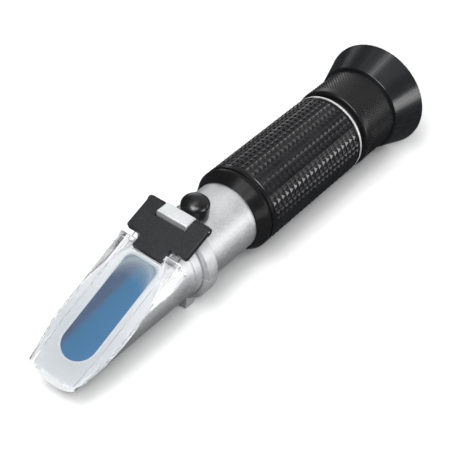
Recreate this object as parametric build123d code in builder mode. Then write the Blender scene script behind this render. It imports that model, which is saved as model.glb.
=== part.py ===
from build123d import *
import os
from math import atan2, cos, degrees, radians, sin, tan

os.makedirs("parts", exist_ok=True)

# Handheld brix refractometer, lying on its foot and on the rim of its eyecup.
# Millimetres, +Z up, +X from the prism tip to the eyecup, origin under the middle of its length.

# Lengths along the barrel, in order from the prism tip to the eyecup's rim
HEAD_LENGTH = 50.4
NECK_LENGTH = 3.2
COLLAR_LENGTH = 4.8
BARE_TUBE_LENGTH = 22.3
FRONT_RING_LENGTH = 7.0
GRIP_LENGTH = 49.5
REAR_RING_LENGTH = 1.4
FOCUS_TRAVEL = 1.5
FOCUS_MARGIN = 0.5
FOCUS_GAP = FOCUS_TRAVEL + FOCUS_MARGIN
FOCUS_RING_LENGTH = 17.1
EYECUP_LENGTH = 11.8

# Walls round the barrel's axis: how far each piece stands out from the one that carries it
TUBE_RADIUS = 12.0
TUBE_WALL = 1.4
HEAD_STEP = 0.4
COLLAR_WALL = 2.2
FRONT_RING_WALL = 2.5
GRIP_WALL = 2.6
REAR_RING_WALL = 2.4
GUIDE_STEP = 0.6
FOCUS_RING_WALL = 2.3
EYECUP_STEP = 0.9
EYECUP_RIM_RADIUS = 19.5

# Radii about the barrel's axis
TUBE_BORE_RADIUS = TUBE_RADIUS - TUBE_WALL
HEAD_RADIUS = TUBE_RADIUS - HEAD_STEP
COLLAR_RADIUS = TUBE_RADIUS + COLLAR_WALL
FRONT_RING_RADIUS = TUBE_RADIUS + FRONT_RING_WALL
GRIP_RADIUS = TUBE_RADIUS + GRIP_WALL
REAR_RING_RADIUS = TUBE_RADIUS + REAR_RING_WALL
GUIDE_RADIUS = TUBE_RADIUS + GUIDE_STEP
FOCUS_RING_RADIUS = GUIDE_RADIUS + FOCUS_RING_WALL
EYECUP_NECK_RADIUS = FOCUS_RING_RADIUS + EYECUP_STEP

# Clearances
PUSH_FIT = 0.03
RUNNING_FIT = 0.06
CEMENT_LAYER = 0.08
SEAM = 0.16
COVER_REST_GAP = 0.1
MOVING_GAP = 0.3

# Sloping face of the head, from the top of its small end face to the uncut top before the neck
END_FACE_HEIGHT = 2.7
HEAD_TOP_LENGTH = 4.36
TIP_EDGE_DROP = HEAD_RADIUS - END_FACE_HEIGHT
SLOPE_ANGLE = degrees(atan2(HEAD_RADIUS + TIP_EDGE_DROP, HEAD_LENGTH - HEAD_TOP_LENGTH))
SLOPE_LENGTH = (HEAD_LENGTH - HEAD_TOP_LENGTH) / cos(radians(SLOPE_ANGLE))

# Prism let into the slope
WINDOW_START = 7.2
WINDOW_REAR_MARGIN = 6.4
WINDOW_LENGTH = SLOPE_LENGTH - WINDOW_START - WINDOW_REAR_MARGIN
WINDOW_HALF_WIDTH = 5.9
WINDOW_CORNER = 2.2
PRISM_FLOOR_WALL = 4.0
PRISM_FLOOR_DROP = HEAD_RADIUS - PRISM_FLOOR_WALL
SEAL_WIDTH = 0.6
SEAL_DEPTH = 0.9
LIGHT_BORE_WALL = 5.0
LIGHT_BORE_RADIUS = HEAD_RADIUS - LIGHT_BORE_WALL
SPIGOT_LENGTH = 5.2
SPIGOT_GROOVE_WIDTH = 1.5
SPIGOT_GROOVE_DEPTH = 1.1
HEAD_EDGE_ROUND = 0.5

# Objective inside the tube
SCREW_BACKSET = 5.1
CARRIER_LENGTH = 6.0
CARRIER_PLAY = 1.6
CARRIER_RADIUS = TUBE_BORE_RADIUS - CARRIER_PLAY
CARRIER_FLAT_CUT = 0.6
CARRIER_FLAT_HEIGHT = CARRIER_RADIUS - CARRIER_FLAT_CUT
CARRIER_LIP = 0.8
CARRIER_WALL = 2.3
OBJECTIVE_RADIUS = CARRIER_RADIUS - CARRIER_WALL
OBJECTIVE_EDGE = 1.8
OBJECTIVE_BULGE = 0.8
RETAINER_LENGTH = 1.2
RETAINER_WIDTH = 0.9
STRIP_WIDTH = 5.0
STRIP_THICKNESS = 0.6
STRIP_SCREW_INSET = 2.0
STRIP_BLOCK_LENGTH = 6.0
STRIP_BLOCK_HEIGHT = 3.6
STRIP_SLOT_PLAY = 0.45
STRIP_SCREW_RADIUS = 0.8
STRIP_SCREW_HEAD_RADIUS = 1.5
STRIP_SCREW_REACH = 1.0
BAFFLE_SETBACK = 16.0
BAFFLE_LENGTH = 1.6
BAFFLE_RIM = 4.6
BAFFLE_BORE_RADIUS = TUBE_BORE_RADIUS - BAFFLE_RIM
RETICLE_SETBACK = 34.0
RETICLE_HOLDER_LENGTH = 5.0
RETICLE_RIM = 2.0
RETICLE_RADIUS = TUBE_BORE_RADIUS - RETICLE_RIM
RETICLE_THICKNESS = 1.4
RETICLE_LIP = 1.2

# Collar, hinge block and foot
BLOCK_OVERHANG = 1.9
BLOCK_LENGTH = 5.1
BLOCK_HALF_WIDTH = 5.55
BLOCK_ABOVE_PIN = 1.6
BLOCK_EDGE_ROUND = 0.5
FOOT_SETBACK = 1.5
FOOT_LENGTH = 4.5
FOOT_HALF_WIDTH = 5.3
FOOT_CHAMFER = 0.4
COLLAR_CHAMFER = 0.3

# Hinge pin, measured from the collar's front face and up from the head's slope carried on to there
PIN_SETBACK = 2.0
PIN_ABOVE_SLOPE = 1.04
PIN_RADIUS = 0.6

# Black hinge flap, measured along its own slope from the pin
FLAP_TILT = 3.0
FLAP_ANGLE = SLOPE_ANGLE - FLAP_TILT
FLAP_THICKNESS = 2.2
FLAP_ABOVE_PIN = 1.1
FLAP_REAR_REACH = 1.3
FLAP_SIDE_INSET = 0.1
FLAP_HALF_WIDTH = HEAD_RADIUS - FLAP_SIDE_INSET
WING_GAP = 1.3
TONGUE_LENGTH = 4.5
TONGUE_HALF_WIDTH = 5.4
NOTCH_SIDE_GAP = 0.45
NOTCH_FRONT_GAP = 0.4
FLAP_CORNER = 0.9
FLAP_EDGE_ROUND = 0.35
KNUCKLE_RADIUS = 1.3

# Clear daylight plate, measured along the head's slope from the tip
PLATE_THICKNESS = 1.3
PLATE_SIDE_INSET = 0.2
PLATE_HALF_WIDTH = HEAD_RADIUS - PLATE_SIDE_INSET
PLATE_TAPER = 2.5
PLATE_FRONT_HALF_WIDTH = PLATE_HALF_WIDTH - PLATE_TAPER
PLATE_FLARE = 15.0
PLATE_REAR_MARGIN = 2.4
PLATE_LENGTH = SLOPE_LENGTH - PLATE_REAR_MARGIN
RAIL_HEIGHT = 0.5
RAIL_WIDTH = 2.9
RAIL_FRONT_WIDTH = 1.3
LUG_RIB_LENGTH = 1.5
LUG_RIB_HEIGHT = 1.1
LUG_SIDE_GAP = 0.35
SKIRT_LENGTH = 16.0
SKIRT_WIDTH = 1.4
SKIRT_DEPTH = 5.0
TAB_LENGTH = 4.6
TAB_WIDTH = 3.0
TAB_THICKNESS = 1.0
TAB_INSET = 1.4

# Calibration screw, its bush and the rubber ball cap over them
SCREW_RADIUS = 1.2
SCREW_HEAD_RADIUS = 1.9
SCREW_HEAD_HEIGHT = 1.1
SCREW_SLOT_WIDTH = 0.5
SCREW_SLOT_DEPTH = 0.6
BUSH_RADIUS = 2.3
BUSH_FLANGE_RADIUS = 2.8
BUSH_FLANGE_HEIGHT = 1.1
BUSH_INNER_REACH = 0.5
CALIBRATION_TRAVEL = 0.35
BOOT_RADIUS = 4.6
BOOT_FOOT_RADIUS = 4.4
BOOT_RISE = 6.95
BOOT_TOP = TUBE_RADIUS + BOOT_RISE
BOOT_CROWN = 1.45
BOOT_SHOULDER_ROUND = 1.8
BOOT_LIFT = 0.25

# Front ring, its cone and its groove
RING_CONE_LENGTH = 3.9
RING_FRONT_WALL = 0.5
RING_GROOVE_START = 5.0
RING_GROOVE_WIDTH = 0.8
RING_GROOVE_DEPTH = 0.7
GRIP_END_CHAMFER = 0.4
REAR_RING_CHAMFER = 0.2

# Eyepiece
SEAT_REACH = 10.4
SEAT_WALL = 1.0
SEAT_BORE_RADIUS = TUBE_BORE_RADIUS - SEAT_WALL
SEAT_SEAL_SETBACK = 4.0
SEAL_SECTION_RADIUS = 0.7
EYEPIECE_LENGTH = 22.9
EYEPIECE_WALL = 1.1
FLANGE_LENGTH = 1.5
FLANGE_SETBACK = 1.1
FLANGE_STOP_LENGTH = 1.0
FLANGE_STOP_DEPTH = 1.4
EYE_APERTURE_RIM = 2.2
EYE_APERTURE_RADIUS = SEAT_BORE_RADIUS - EYE_APERTURE_RIM
LENS_EDGE = 2.4
LENS_BULGE = 1.3
LENS_LIP = 0.8
LENS_LIP_LENGTH = 2.0
LENS_RETAINER_LENGTH = 1.7
SPACER_WALL = 0.8
FOCUS_RING_CHAMFER = 0.6
EYECUP_WALL = 0.9
EYECUP_HUB_LENGTH = 1.6
EYECUP_FLOOR_INSET = 2.4
EYECUP_INNER_RADIUS = EYECUP_NECK_RADIUS - EYECUP_FLOOR_INSET

# Places along the barrel, added up from the lengths
OVERALL_LENGTH = (
    HEAD_LENGTH + NECK_LENGTH + COLLAR_LENGTH + BARE_TUBE_LENGTH + FRONT_RING_LENGTH
    + GRIP_LENGTH + REAR_RING_LENGTH + FOCUS_GAP + FOCUS_RING_LENGTH + EYECUP_LENGTH
)
X_TIP = -OVERALL_LENGTH / 2
X_NECK = X_TIP + HEAD_LENGTH
X_COLLAR = X_NECK + NECK_LENGTH
X_BARE_TUBE = X_COLLAR + COLLAR_LENGTH
X_FRONT_RING = X_BARE_TUBE + BARE_TUBE_LENGTH
X_GRIP = X_FRONT_RING + FRONT_RING_LENGTH
X_REAR_RING = X_GRIP + GRIP_LENGTH
X_TUBE_END = X_REAR_RING + REAR_RING_LENGTH
X_FOCUS_RING = X_TUBE_END + FOCUS_GAP
X_EYECUP = X_FOCUS_RING + FOCUS_RING_LENGTH
X_RIM = X_EYECUP + EYECUP_LENGTH
X_SCREW = X_BARE_TUBE + SCREW_BACKSET

# The barrel's axis is as high as the eyecup's rim is wide, because the rim rests on the table.
AXIS_Z = EYECUP_RIM_RADIUS
BARREL_AXIS = Axis((0, 0, AXIS_Z), (1, 0, 0))
SCREW_AXIS = Axis((X_SCREW, 0, AXIS_Z), (0, 0, 1))

# AXIAL cuts the barrel lengthwise: its x runs along the barrel and its y is the radius.
AXIAL = Plane(origin=(0, 0, AXIS_Z), x_dir=(1, 0, 0), z_dir=(0, -1, 0))
SCREW_AXIAL = Plane(origin=(X_SCREW, 0, AXIS_Z), x_dir=(1, 0, 0), z_dir=(0, -1, 0))


def sloping_plane(x, z, angle):
    """A plane that rises along +X by an angle in degrees, its own x running up the slope."""
    rise = radians(angle)
    return Plane(origin=(x, 0, z), x_dir=(cos(rise), 0, sin(rise)), z_dir=(-sin(rise), 0, cos(rise)))


SLOPE = sloping_plane(X_TIP, AXIS_Z - TIP_EDGE_DROP, SLOPE_ANGLE)
PLATE_BOTTOM = SLOPE.offset(COVER_REST_GAP)
PLATE_END_X = PLATE_BOTTOM.origin.X + PLATE_LENGTH * cos(radians(SLOPE_ANGLE))

# The pin stands a little above the slope carried on to its place, and the flap reaches from it to the plate.
X_PIN = X_COLLAR + PIN_SETBACK
Z_PIN = SLOPE.origin.Z + (X_PIN - X_TIP) * tan(radians(SLOPE_ANGLE)) + PIN_ABOVE_SLOPE
FLAP = sloping_plane(X_PIN, Z_PIN, FLAP_ANGLE)
FLAP_BOTTOM = FLAP.offset(FLAP_ABOVE_PIN - FLAP_THICKNESS)
FLAP_WING_REACH = (X_PIN - PLATE_END_X - WING_GAP) / cos(radians(FLAP_ANGLE))
FLAP_TONGUE_REACH = FLAP_WING_REACH + TONGUE_LENGTH

SPIGOT_RADIUS = TUBE_BORE_RADIUS - PUSH_FIT


def turn(points, mode=Mode.ADD):
    """Turn a closed outline of (x, radius) points about the barrel's axis into the part being built."""
    with BuildSketch(AXIAL) as outline:
        with BuildLine():
            Polyline(*points, close=True)
        make_face()
    revolve(outline.sketch, axis=BARREL_AXIS, mode=mode)


def turn_tube(x_start, x_end, inner, outer, mode=Mode.ADD):
    """Turn a plain tube, or a rod where the inner radius is zero, about the barrel's axis."""
    turn([(x_start, inner), (x_end, inner), (x_end, outer), (x_start, outer)], mode)


def turn_about_screw(points, mode=Mode.ADD):
    """Turn a closed outline of (radius, height above the barrel's axis) points about the screw's axis."""
    with BuildSketch(SCREW_AXIAL) as outline:
        with BuildLine():
            Polyline(*points, close=True)
        make_face()
    revolve(outline.sketch, axis=SCREW_AXIS, mode=mode)


def turn_seal(x, radius, section_radius):
    """Turn a round-section sealing ring whose section's centre is at (x, radius)."""
    with BuildSketch(AXIAL) as section:
        with Locations((x, radius)):
            Circle(section_radius)
    revolve(section.sketch, axis=BARREL_AXIS)


def turn_lens(x_edge, edge, radius, aperture, bulge):
    """Turn a lens whose faces bulge alike inside a flat border; its edge starts at x_edge."""
    with BuildSketch(AXIAL) as section:
        with BuildLine():
            front = TangentArc((x_edge - bulge, 0), (x_edge, aperture), tangent=(0, 1))
            back = TangentArc((x_edge + edge + bulge, 0), (x_edge + edge, aperture), tangent=(0, 1))
            Polyline(front @ 1, (x_edge, radius), (x_edge + edge, radius), back @ 1)
            Line(front @ 0, back @ 0)
        make_face()
    revolve(section.sketch, axis=BARREL_AXIS)


def window(grow):
    """The prism window's face on the slope, grown all round: a round front, rounded rear corners."""
    with BuildSketch(SLOPE) as face:
        straight = WINDOW_LENGTH - WINDOW_HALF_WIDTH
        with Locations((WINDOW_START + WINDOW_LENGTH - straight / 2, 0)):
            Rectangle(straight, 2 * WINDOW_HALF_WIDTH)
        fillet(face.vertices().group_by(Axis.X)[-1], WINDOW_CORNER)
        with Locations((WINDOW_START + WINDOW_HALF_WIDTH, 0)):
            Circle(WINDOW_HALF_WIDTH)
        if grow > 0:
            offset(amount=grow)
    return face.sketch


X_PRISM_REAR = X_TIP + (WINDOW_START + WINDOW_LENGTH) * cos(radians(SLOPE_ANGLE))
PRISM_FLOOR = Plane.XY.offset(AXIS_Z - PRISM_FLOOR_DROP)
PRISM_REAR = Plane.YZ.offset(X_PRISM_REAR)
PRISM_REACH = 2 * HEAD_RADIUS


def prism_wedge(grow):
    """The window let down into the head, with a level floor and an upright rear face."""
    with BuildPart() as wedge:
        extrude(window(grow), amount=-PRISM_REACH)
        split(bisect_by=PRISM_FLOOR.offset(-grow), keep=Keep.TOP)
        split(bisect_by=PRISM_REAR.offset(grow), keep=Keep.BOTTOM)
    return wedge.part


# Head body: a round bar cut to a slope, with the prism's pocket, a neck and a spigot into the tube
prism_pocket = prism_wedge(CEMENT_LAYER)
X_SPIGOT_END = X_COLLAR + SPIGOT_LENGTH
X_HEAD_SEAL = X_COLLAR + SPIGOT_LENGTH / 2
with BuildPart() as head_body:
    turn_tube(X_TIP, X_NECK, 0, HEAD_RADIUS)
    turn_tube(X_NECK, X_COLLAR, 0, TUBE_RADIUS)
    turn_tube(X_COLLAR, X_SPIGOT_END, 0, SPIGOT_RADIUS)
    chamfer(head_body.edges().filter_by(GeomType.CIRCLE).group_by(Axis.X)[-1], HEAD_EDGE_ROUND)
    split(bisect_by=SLOPE, keep=Keep.BOTTOM)
    add(prism_pocket, mode=Mode.SUBTRACT)
    extrude(window(SEAL_WIDTH), amount=-SEAL_DEPTH, mode=Mode.SUBTRACT)
    turn_tube(X_PRISM_REAR, X_SPIGOT_END, 0, LIGHT_BORE_RADIUS, Mode.SUBTRACT)
    turn_tube(
        X_HEAD_SEAL - SPIGOT_GROOVE_WIDTH / 2,
        X_HEAD_SEAL + SPIGOT_GROOVE_WIDTH / 2,
        SPIGOT_RADIUS - SPIGOT_GROOVE_DEPTH,
        TUBE_RADIUS,
        Mode.SUBTRACT,
    )
head_body.part.label = "head_body"

# Prism: blue optical glass
with BuildPart() as main_prism:
    add(prism_wedge(0))
main_prism.part.label = "main_prism"

# Prism seal: a thin frame of sealant round the glass, flush with the slope
with BuildPart() as prism_seal:
    extrude(window(SEAL_WIDTH), amount=-SEAL_DEPTH)
    extrude(window(PUSH_FIT), amount=-SEAL_DEPTH, mode=Mode.SUBTRACT)
prism_seal.part.label = "prism_seal"

# Head seal: a rubber ring in the spigot's groove, against the tube's bore
HEAD_SEAL_SECTION = SPIGOT_GROOVE_DEPTH / 2 - PUSH_FIT
with BuildPart() as head_seal:
    turn_seal(X_HEAD_SEAL, SPIGOT_RADIUS - SPIGOT_GROOVE_DEPTH / 2, HEAD_SEAL_SECTION)
head_seal.part.label = "head_seal"

# Collar, cast in two halves that close round the tube; their joint shows as a seam at each side
COLLAR_BORE_RADIUS = TUBE_RADIUS + PUSH_FIT


def turn_collar():
    """Turn the whole collar ring with its two outer edges broken."""
    x_end = X_COLLAR + COLLAR_LENGTH
    turn(
        [
            (X_COLLAR, COLLAR_BORE_RADIUS),
            (x_end, COLLAR_BORE_RADIUS),
            (x_end, COLLAR_RADIUS - COLLAR_CHAMFER),
            (x_end - COLLAR_CHAMFER, COLLAR_RADIUS),
            (X_COLLAR + COLLAR_CHAMFER, COLLAR_RADIUS),
            (X_COLLAR, COLLAR_RADIUS - COLLAR_CHAMFER),
        ]
    )


X_BLOCK = X_COLLAR - BLOCK_OVERHANG
with BuildPart() as hinge_block_blank:
    with BuildSketch(Plane.XY.offset(AXIS_Z)):
        with Locations((X_BLOCK + BLOCK_LENGTH / 2, 0)):
            Rectangle(BLOCK_LENGTH, 2 * BLOCK_HALF_WIDTH)
    extrude(amount=Z_PIN - AXIS_Z + BLOCK_ABOVE_PIN)
    fillet(hinge_block_blank.faces().sort_by(Axis.Z)[-1].edges(), BLOCK_EDGE_ROUND)

with BuildPart() as hinge_collar:
    turn_collar()
    split(bisect_by=Plane.XY.offset(AXIS_Z + SEAM / 2), keep=Keep.TOP)
    add(hinge_block_blank.part)
    turn_tube(X_NECK, X_FRONT_RING, 0, COLLAR_BORE_RADIUS, Mode.SUBTRACT)
    with BuildSketch(Plane.XZ.offset(-COLLAR_RADIUS)):
        with Locations((X_PIN, Z_PIN)):
            Circle(PIN_RADIUS + RUNNING_FIT)
    extrude(amount=2 * COLLAR_RADIUS, mode=Mode.SUBTRACT)
hinge_collar.part.label = "hinge_collar"

X_FOOT = X_COLLAR + FOOT_SETBACK
with BuildPart() as foot_blank:
    with BuildSketch(Plane.XY):
        with Locations((X_FOOT + FOOT_LENGTH / 2, 0)):
            Rectangle(FOOT_LENGTH, 2 * FOOT_HALF_WIDTH)
    extrude(amount=AXIS_Z - TUBE_RADIUS / 2)
    chamfer(foot_blank.faces().sort_by(Axis.Z)[0].edges(), FOOT_CHAMFER)

with BuildPart() as foot_collar:
    turn_collar()
    split(bisect_by=Plane.XY.offset(AXIS_Z - SEAM / 2), keep=Keep.BOTTOM)
    add(foot_blank.part)
    turn_tube(X_COLLAR, X_FRONT_RING, 0, COLLAR_BORE_RADIUS, Mode.SUBTRACT)
foot_collar.part.label = "foot_collar"

# Main tube: one bare aluminium tube from the head to the eyepiece, with a hole for the screw's bush
X_STRIP_SCREW = X_GRIP + STRIP_SCREW_INSET
STRIP_SCREW_PLANE = Plane(
    origin=(X_STRIP_SCREW, 0, AXIS_Z - TUBE_RADIUS), x_dir=(1, 0, 0), z_dir=(0, 0, 1)
)
with BuildPart() as main_tube:
    turn_tube(X_COLLAR, X_TUBE_END, TUBE_BORE_RADIUS, TUBE_RADIUS)
    turn_about_screw(
        [(0, 0), (BUSH_RADIUS + PUSH_FIT, 0), (BUSH_RADIUS + PUSH_FIT, GRIP_RADIUS), (0, GRIP_RADIUS)],
        Mode.SUBTRACT,
    )
    with BuildSketch(STRIP_SCREW_PLANE):
        Circle(STRIP_SCREW_HEAD_RADIUS + PUSH_FIT)
    extrude(amount=2 * TUBE_WALL, mode=Mode.SUBTRACT)
main_tube.part.label = "main_tube"

# Screw bush: a small brass bush in the tube's wall, whose flange holds the ball cap
FLANGE_TOP = TUBE_RADIUS + PUSH_FIT + BUSH_FLANGE_HEIGHT
SCREW_HOLE_RADIUS = SCREW_RADIUS + RUNNING_FIT
with BuildPart() as screw_bush:
    turn_about_screw(
        [
            (SCREW_HOLE_RADIUS, TUBE_BORE_RADIUS - BUSH_INNER_REACH),
            (BUSH_RADIUS, TUBE_BORE_RADIUS - BUSH_INNER_REACH),
            (BUSH_RADIUS, TUBE_RADIUS + PUSH_FIT),
            (BUSH_FLANGE_RADIUS, TUBE_RADIUS + PUSH_FIT),
            (BUSH_FLANGE_RADIUS, FLANGE_TOP),
            (SCREW_HOLE_RADIUS, FLANGE_TOP),
        ]
    )
screw_bush.part.label = "screw_bush"

# Calibration screw: slotted, standing a little above the bush so that it can be turned in
SCREW_HEAD_BOTTOM = FLANGE_TOP + CALIBRATION_TRAVEL + PUSH_FIT
SCREW_TOP = SCREW_HEAD_BOTTOM + SCREW_HEAD_HEIGHT
with BuildPart() as calibration_screw:
    turn_about_screw(
        [
            (0, CARRIER_FLAT_HEIGHT),
            (SCREW_RADIUS, CARRIER_FLAT_HEIGHT),
            (SCREW_RADIUS, SCREW_HEAD_BOTTOM),
            (SCREW_HEAD_RADIUS, SCREW_HEAD_BOTTOM),
            (SCREW_HEAD_RADIUS, SCREW_TOP),
            (0, SCREW_TOP),
        ]
    )
    with BuildSketch(Plane.XY.offset(AXIS_Z + SCREW_TOP)):
        with Locations((X_SCREW, 0)):
            Rectangle(SCREW_SLOT_WIDTH, 3 * SCREW_HEAD_RADIUS)
    extrude(amount=-SCREW_SLOT_DEPTH, mode=Mode.SUBTRACT)
calibration_screw.part.label = "calibration_screw"

# Ball cap: a hollow rubber dome on a skirt that follows the tube, pushed over the bush's flange
BOOT_BOTTOM = TUBE_RADIUS + BOOT_LIFT
BOOT_CAVITY_TOP = SCREW_TOP + CALIBRATION_TRAVEL + PUSH_FIT
with BuildPart() as screw_boot:
    with BuildSketch(SCREW_AXIAL) as outline:
        with BuildLine():
            crown = TangentArc((0, BOOT_TOP), (BOOT_RADIUS, BOOT_TOP - BOOT_CROWN), tangent=(1, 0))
            Polyline(crown @ 1, (BOOT_FOOT_RADIUS, TUBE_RADIUS), (BOOT_FOOT_RADIUS, 0), (0, 0), crown @ 0)
        make_face()
        fillet(outline.vertices().sort_by(Axis.X)[-1], radius=BOOT_SHOULDER_ROUND)
    revolve(outline.sketch, axis=SCREW_AXIS)
    turn_about_screw(
        [
            (0, 0),
            (BUSH_FLANGE_RADIUS + PUSH_FIT, 0),
            (BUSH_FLANGE_RADIUS + PUSH_FIT, FLANGE_TOP),
            (SCREW_HEAD_RADIUS + MOVING_GAP, BOOT_CAVITY_TOP),
            (0, BOOT_CAVITY_TOP),
        ],
        Mode.SUBTRACT,
    )
    turn_tube(X_SCREW - 2 * BOOT_RADIUS, X_SCREW + 2 * BOOT_RADIUS, 0, BOOT_BOTTOM, Mode.SUBTRACT)
screw_boot.part.label = "screw_boot"

# Lens carrier: a ring inside the tube, flat on top for the screw's tip and below for the strip
X_CARRIER = X_SCREW - CARRIER_LENGTH / 2
LENS_SEAT_RADIUS = OBJECTIVE_RADIUS + PUSH_FIT
with BuildPart() as lens_carrier:
    turn_tube(X_CARRIER, X_CARRIER + CARRIER_LENGTH, 0, CARRIER_RADIUS)
    split(bisect_by=Plane.XY.offset(AXIS_Z + CARRIER_FLAT_HEIGHT), keep=Keep.BOTTOM)
    split(bisect_by=Plane.XY.offset(AXIS_Z - CARRIER_FLAT_HEIGHT), keep=Keep.TOP)
    turn_tube(X_CARRIER, X_CARRIER + CARRIER_LENGTH, 0, LENS_SEAT_RADIUS - CARRIER_LIP, Mode.SUBTRACT)
    turn_tube(X_CARRIER + CARRIER_LIP, X_CARRIER + CARRIER_LENGTH, 0, LENS_SEAT_RADIUS, Mode.SUBTRACT)
lens_carrier.part.label = "lens_carrier"

X_OBJECTIVE = X_CARRIER + CARRIER_LIP + PUSH_FIT
with BuildPart() as objective_lens:
    turn_lens(
        X_OBJECTIVE, OBJECTIVE_EDGE, OBJECTIVE_RADIUS, OBJECTIVE_RADIUS - RETAINER_WIDTH, OBJECTIVE_BULGE
    )
objective_lens.part.label = "objective_lens"

X_OBJECTIVE_RING = X_OBJECTIVE + OBJECTIVE_EDGE + PUSH_FIT
with BuildPart() as objective_ring:
    turn_tube(
        X_OBJECTIVE_RING,
        X_OBJECTIVE_RING + RETAINER_LENGTH,
        OBJECTIVE_RADIUS - RETAINER_WIDTH,
        OBJECTIVE_RADIUS,
    )
objective_ring.part.label = "objective_ring"

# Bimetal strip: flat under the carrier, its other end held with a little play in the strip block
STRIP_TOP = AXIS_Z - CARRIER_FLAT_HEIGHT
STRIP_LENGTH = X_STRIP_SCREW + STRIP_BLOCK_LENGTH / 2 - X_CARRIER
with BuildPart() as bimetal_strip:
    with BuildSketch(Plane.XY.offset(STRIP_TOP)):
        with Locations((X_CARRIER + STRIP_LENGTH / 2, 0)):
            Rectangle(STRIP_LENGTH, STRIP_WIDTH)
    extrude(amount=-STRIP_THICKNESS)
bimetal_strip.part.label = "bimetal_strip"

X_STRIP_BLOCK = X_STRIP_SCREW - STRIP_BLOCK_LENGTH / 2
STRIP_SLOT_HEIGHT = STRIP_THICKNESS + 2 * STRIP_SLOT_PLAY
with BuildPart() as strip_block:
    turn_tube(X_STRIP_BLOCK, X_STRIP_BLOCK + STRIP_BLOCK_LENGTH, 0, TUBE_BORE_RADIUS - PUSH_FIT)
    split(
        bisect_by=Plane.XY.offset(AXIS_Z - TUBE_BORE_RADIUS + STRIP_BLOCK_HEIGHT), keep=Keep.BOTTOM
    )
    with BuildSketch(Plane.XY.offset(STRIP_TOP + STRIP_SLOT_PLAY)):
        with Locations((X_STRIP_SCREW, 0)):
            Rectangle(2 * STRIP_BLOCK_LENGTH, STRIP_WIDTH + 2 * STRIP_SLOT_PLAY)
    extrude(amount=-STRIP_SLOT_HEIGHT, mode=Mode.SUBTRACT)
    with BuildSketch(STRIP_SCREW_PLANE):
        Circle(STRIP_SCREW_RADIUS + PUSH_FIT)
    extrude(amount=TUBE_WALL + STRIP_SCREW_REACH + PUSH_FIT, mode=Mode.SUBTRACT)
strip_block.part.label = "strip_block"

# Strip block screw: its head flush in the tube's wall under the grip, its shank in the strip block
with BuildPart() as strip_screw:
    with BuildSketch(STRIP_SCREW_PLANE.offset(PUSH_FIT)):
        Circle(STRIP_SCREW_HEAD_RADIUS)
    extrude(amount=TUBE_WALL - PUSH_FIT)
    with BuildSketch(STRIP_SCREW_PLANE.offset(TUBE_WALL)):
        Circle(STRIP_SCREW_RADIUS)
    extrude(amount=STRIP_SCREW_REACH)
    with BuildSketch(STRIP_SCREW_PLANE.offset(PUSH_FIT)):
        Rectangle(SCREW_SLOT_WIDTH, 3 * STRIP_SCREW_HEAD_RADIUS)
    extrude(amount=SCREW_SLOT_WIDTH, mode=Mode.SUBTRACT)
strip_screw.part.label = "strip_screw"

# Baffle, reticle and reticle holder inside the tube
X_BAFFLE = X_GRIP + BAFFLE_SETBACK
with BuildPart() as light_baffle:
    turn_tube(X_BAFFLE, X_BAFFLE + BAFFLE_LENGTH, BAFFLE_BORE_RADIUS, TUBE_BORE_RADIUS - PUSH_FIT)
light_baffle.part.label = "light_baffle"

X_HOLDER = X_GRIP + RETICLE_SETBACK
RETICLE_SEAT_RADIUS = RETICLE_RADIUS + PUSH_FIT
with BuildPart() as reticle_holder:
    turn_tube(X_HOLDER, X_HOLDER + RETICLE_HOLDER_LENGTH, 0, TUBE_BORE_RADIUS - PUSH_FIT)
    turn_tube(
        X_HOLDER, X_HOLDER + RETICLE_HOLDER_LENGTH, 0, RETICLE_SEAT_RADIUS - RETICLE_LIP, Mode.SUBTRACT
    )
    turn_tube(
        X_HOLDER + RETICLE_LIP, X_HOLDER + RETICLE_HOLDER_LENGTH, 0, RETICLE_SEAT_RADIUS, Mode.SUBTRACT
    )
reticle_holder.part.label = "reticle_holder"

X_RETICLE = X_HOLDER + RETICLE_LIP + PUSH_FIT
with BuildPart() as reticle:
    turn_tube(X_RETICLE, X_RETICLE + RETICLE_THICKNESS, 0, RETICLE_RADIUS)
reticle.part.label = "reticle"

X_RETICLE_RING = X_RETICLE + RETICLE_THICKNESS + PUSH_FIT
with BuildPart() as reticle_ring:
    turn_tube(
        X_RETICLE_RING, X_RETICLE_RING + RETAINER_LENGTH, RETICLE_RADIUS - RETAINER_WIDTH, RETICLE_RADIUS
    )
reticle_ring.part.label = "reticle_ring"

# Black front ring: a cone up to the grip's size, then a groove
SLEEVE_BORE_RADIUS = TUBE_RADIUS + PUSH_FIT
X_RING_GROOVE = X_FRONT_RING + RING_GROOVE_START
with BuildPart() as grip_front_ring:
    turn(
        [
            (X_FRONT_RING, SLEEVE_BORE_RADIUS),
            (X_FRONT_RING, SLEEVE_BORE_RADIUS + RING_FRONT_WALL),
            (X_FRONT_RING + RING_CONE_LENGTH, FRONT_RING_RADIUS),
            (X_RING_GROOVE, FRONT_RING_RADIUS),
            (X_RING_GROOVE, FRONT_RING_RADIUS - RING_GROOVE_DEPTH),
            (X_RING_GROOVE + RING_GROOVE_WIDTH, FRONT_RING_RADIUS - RING_GROOVE_DEPTH),
            (X_RING_GROOVE + RING_GROOVE_WIDTH, FRONT_RING_RADIUS),
            (X_GRIP, FRONT_RING_RADIUS),
            (X_GRIP, SLEEVE_BORE_RADIUS),
        ]
    )
grip_front_ring.part.label = "grip_front_ring"

# Rubber grip sleeve
with BuildPart() as rubber_grip:
    turn_tube(X_GRIP, X_REAR_RING, SLEEVE_BORE_RADIUS, GRIP_RADIUS)
    outer_edges = rubber_grip.edges().filter_by(GeomType.CIRCLE).sort_by(SortBy.RADIUS)[-2:]
    chamfer(outer_edges, GRIP_END_CHAMFER)
rubber_grip.part.label = "rubber_grip"

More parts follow.
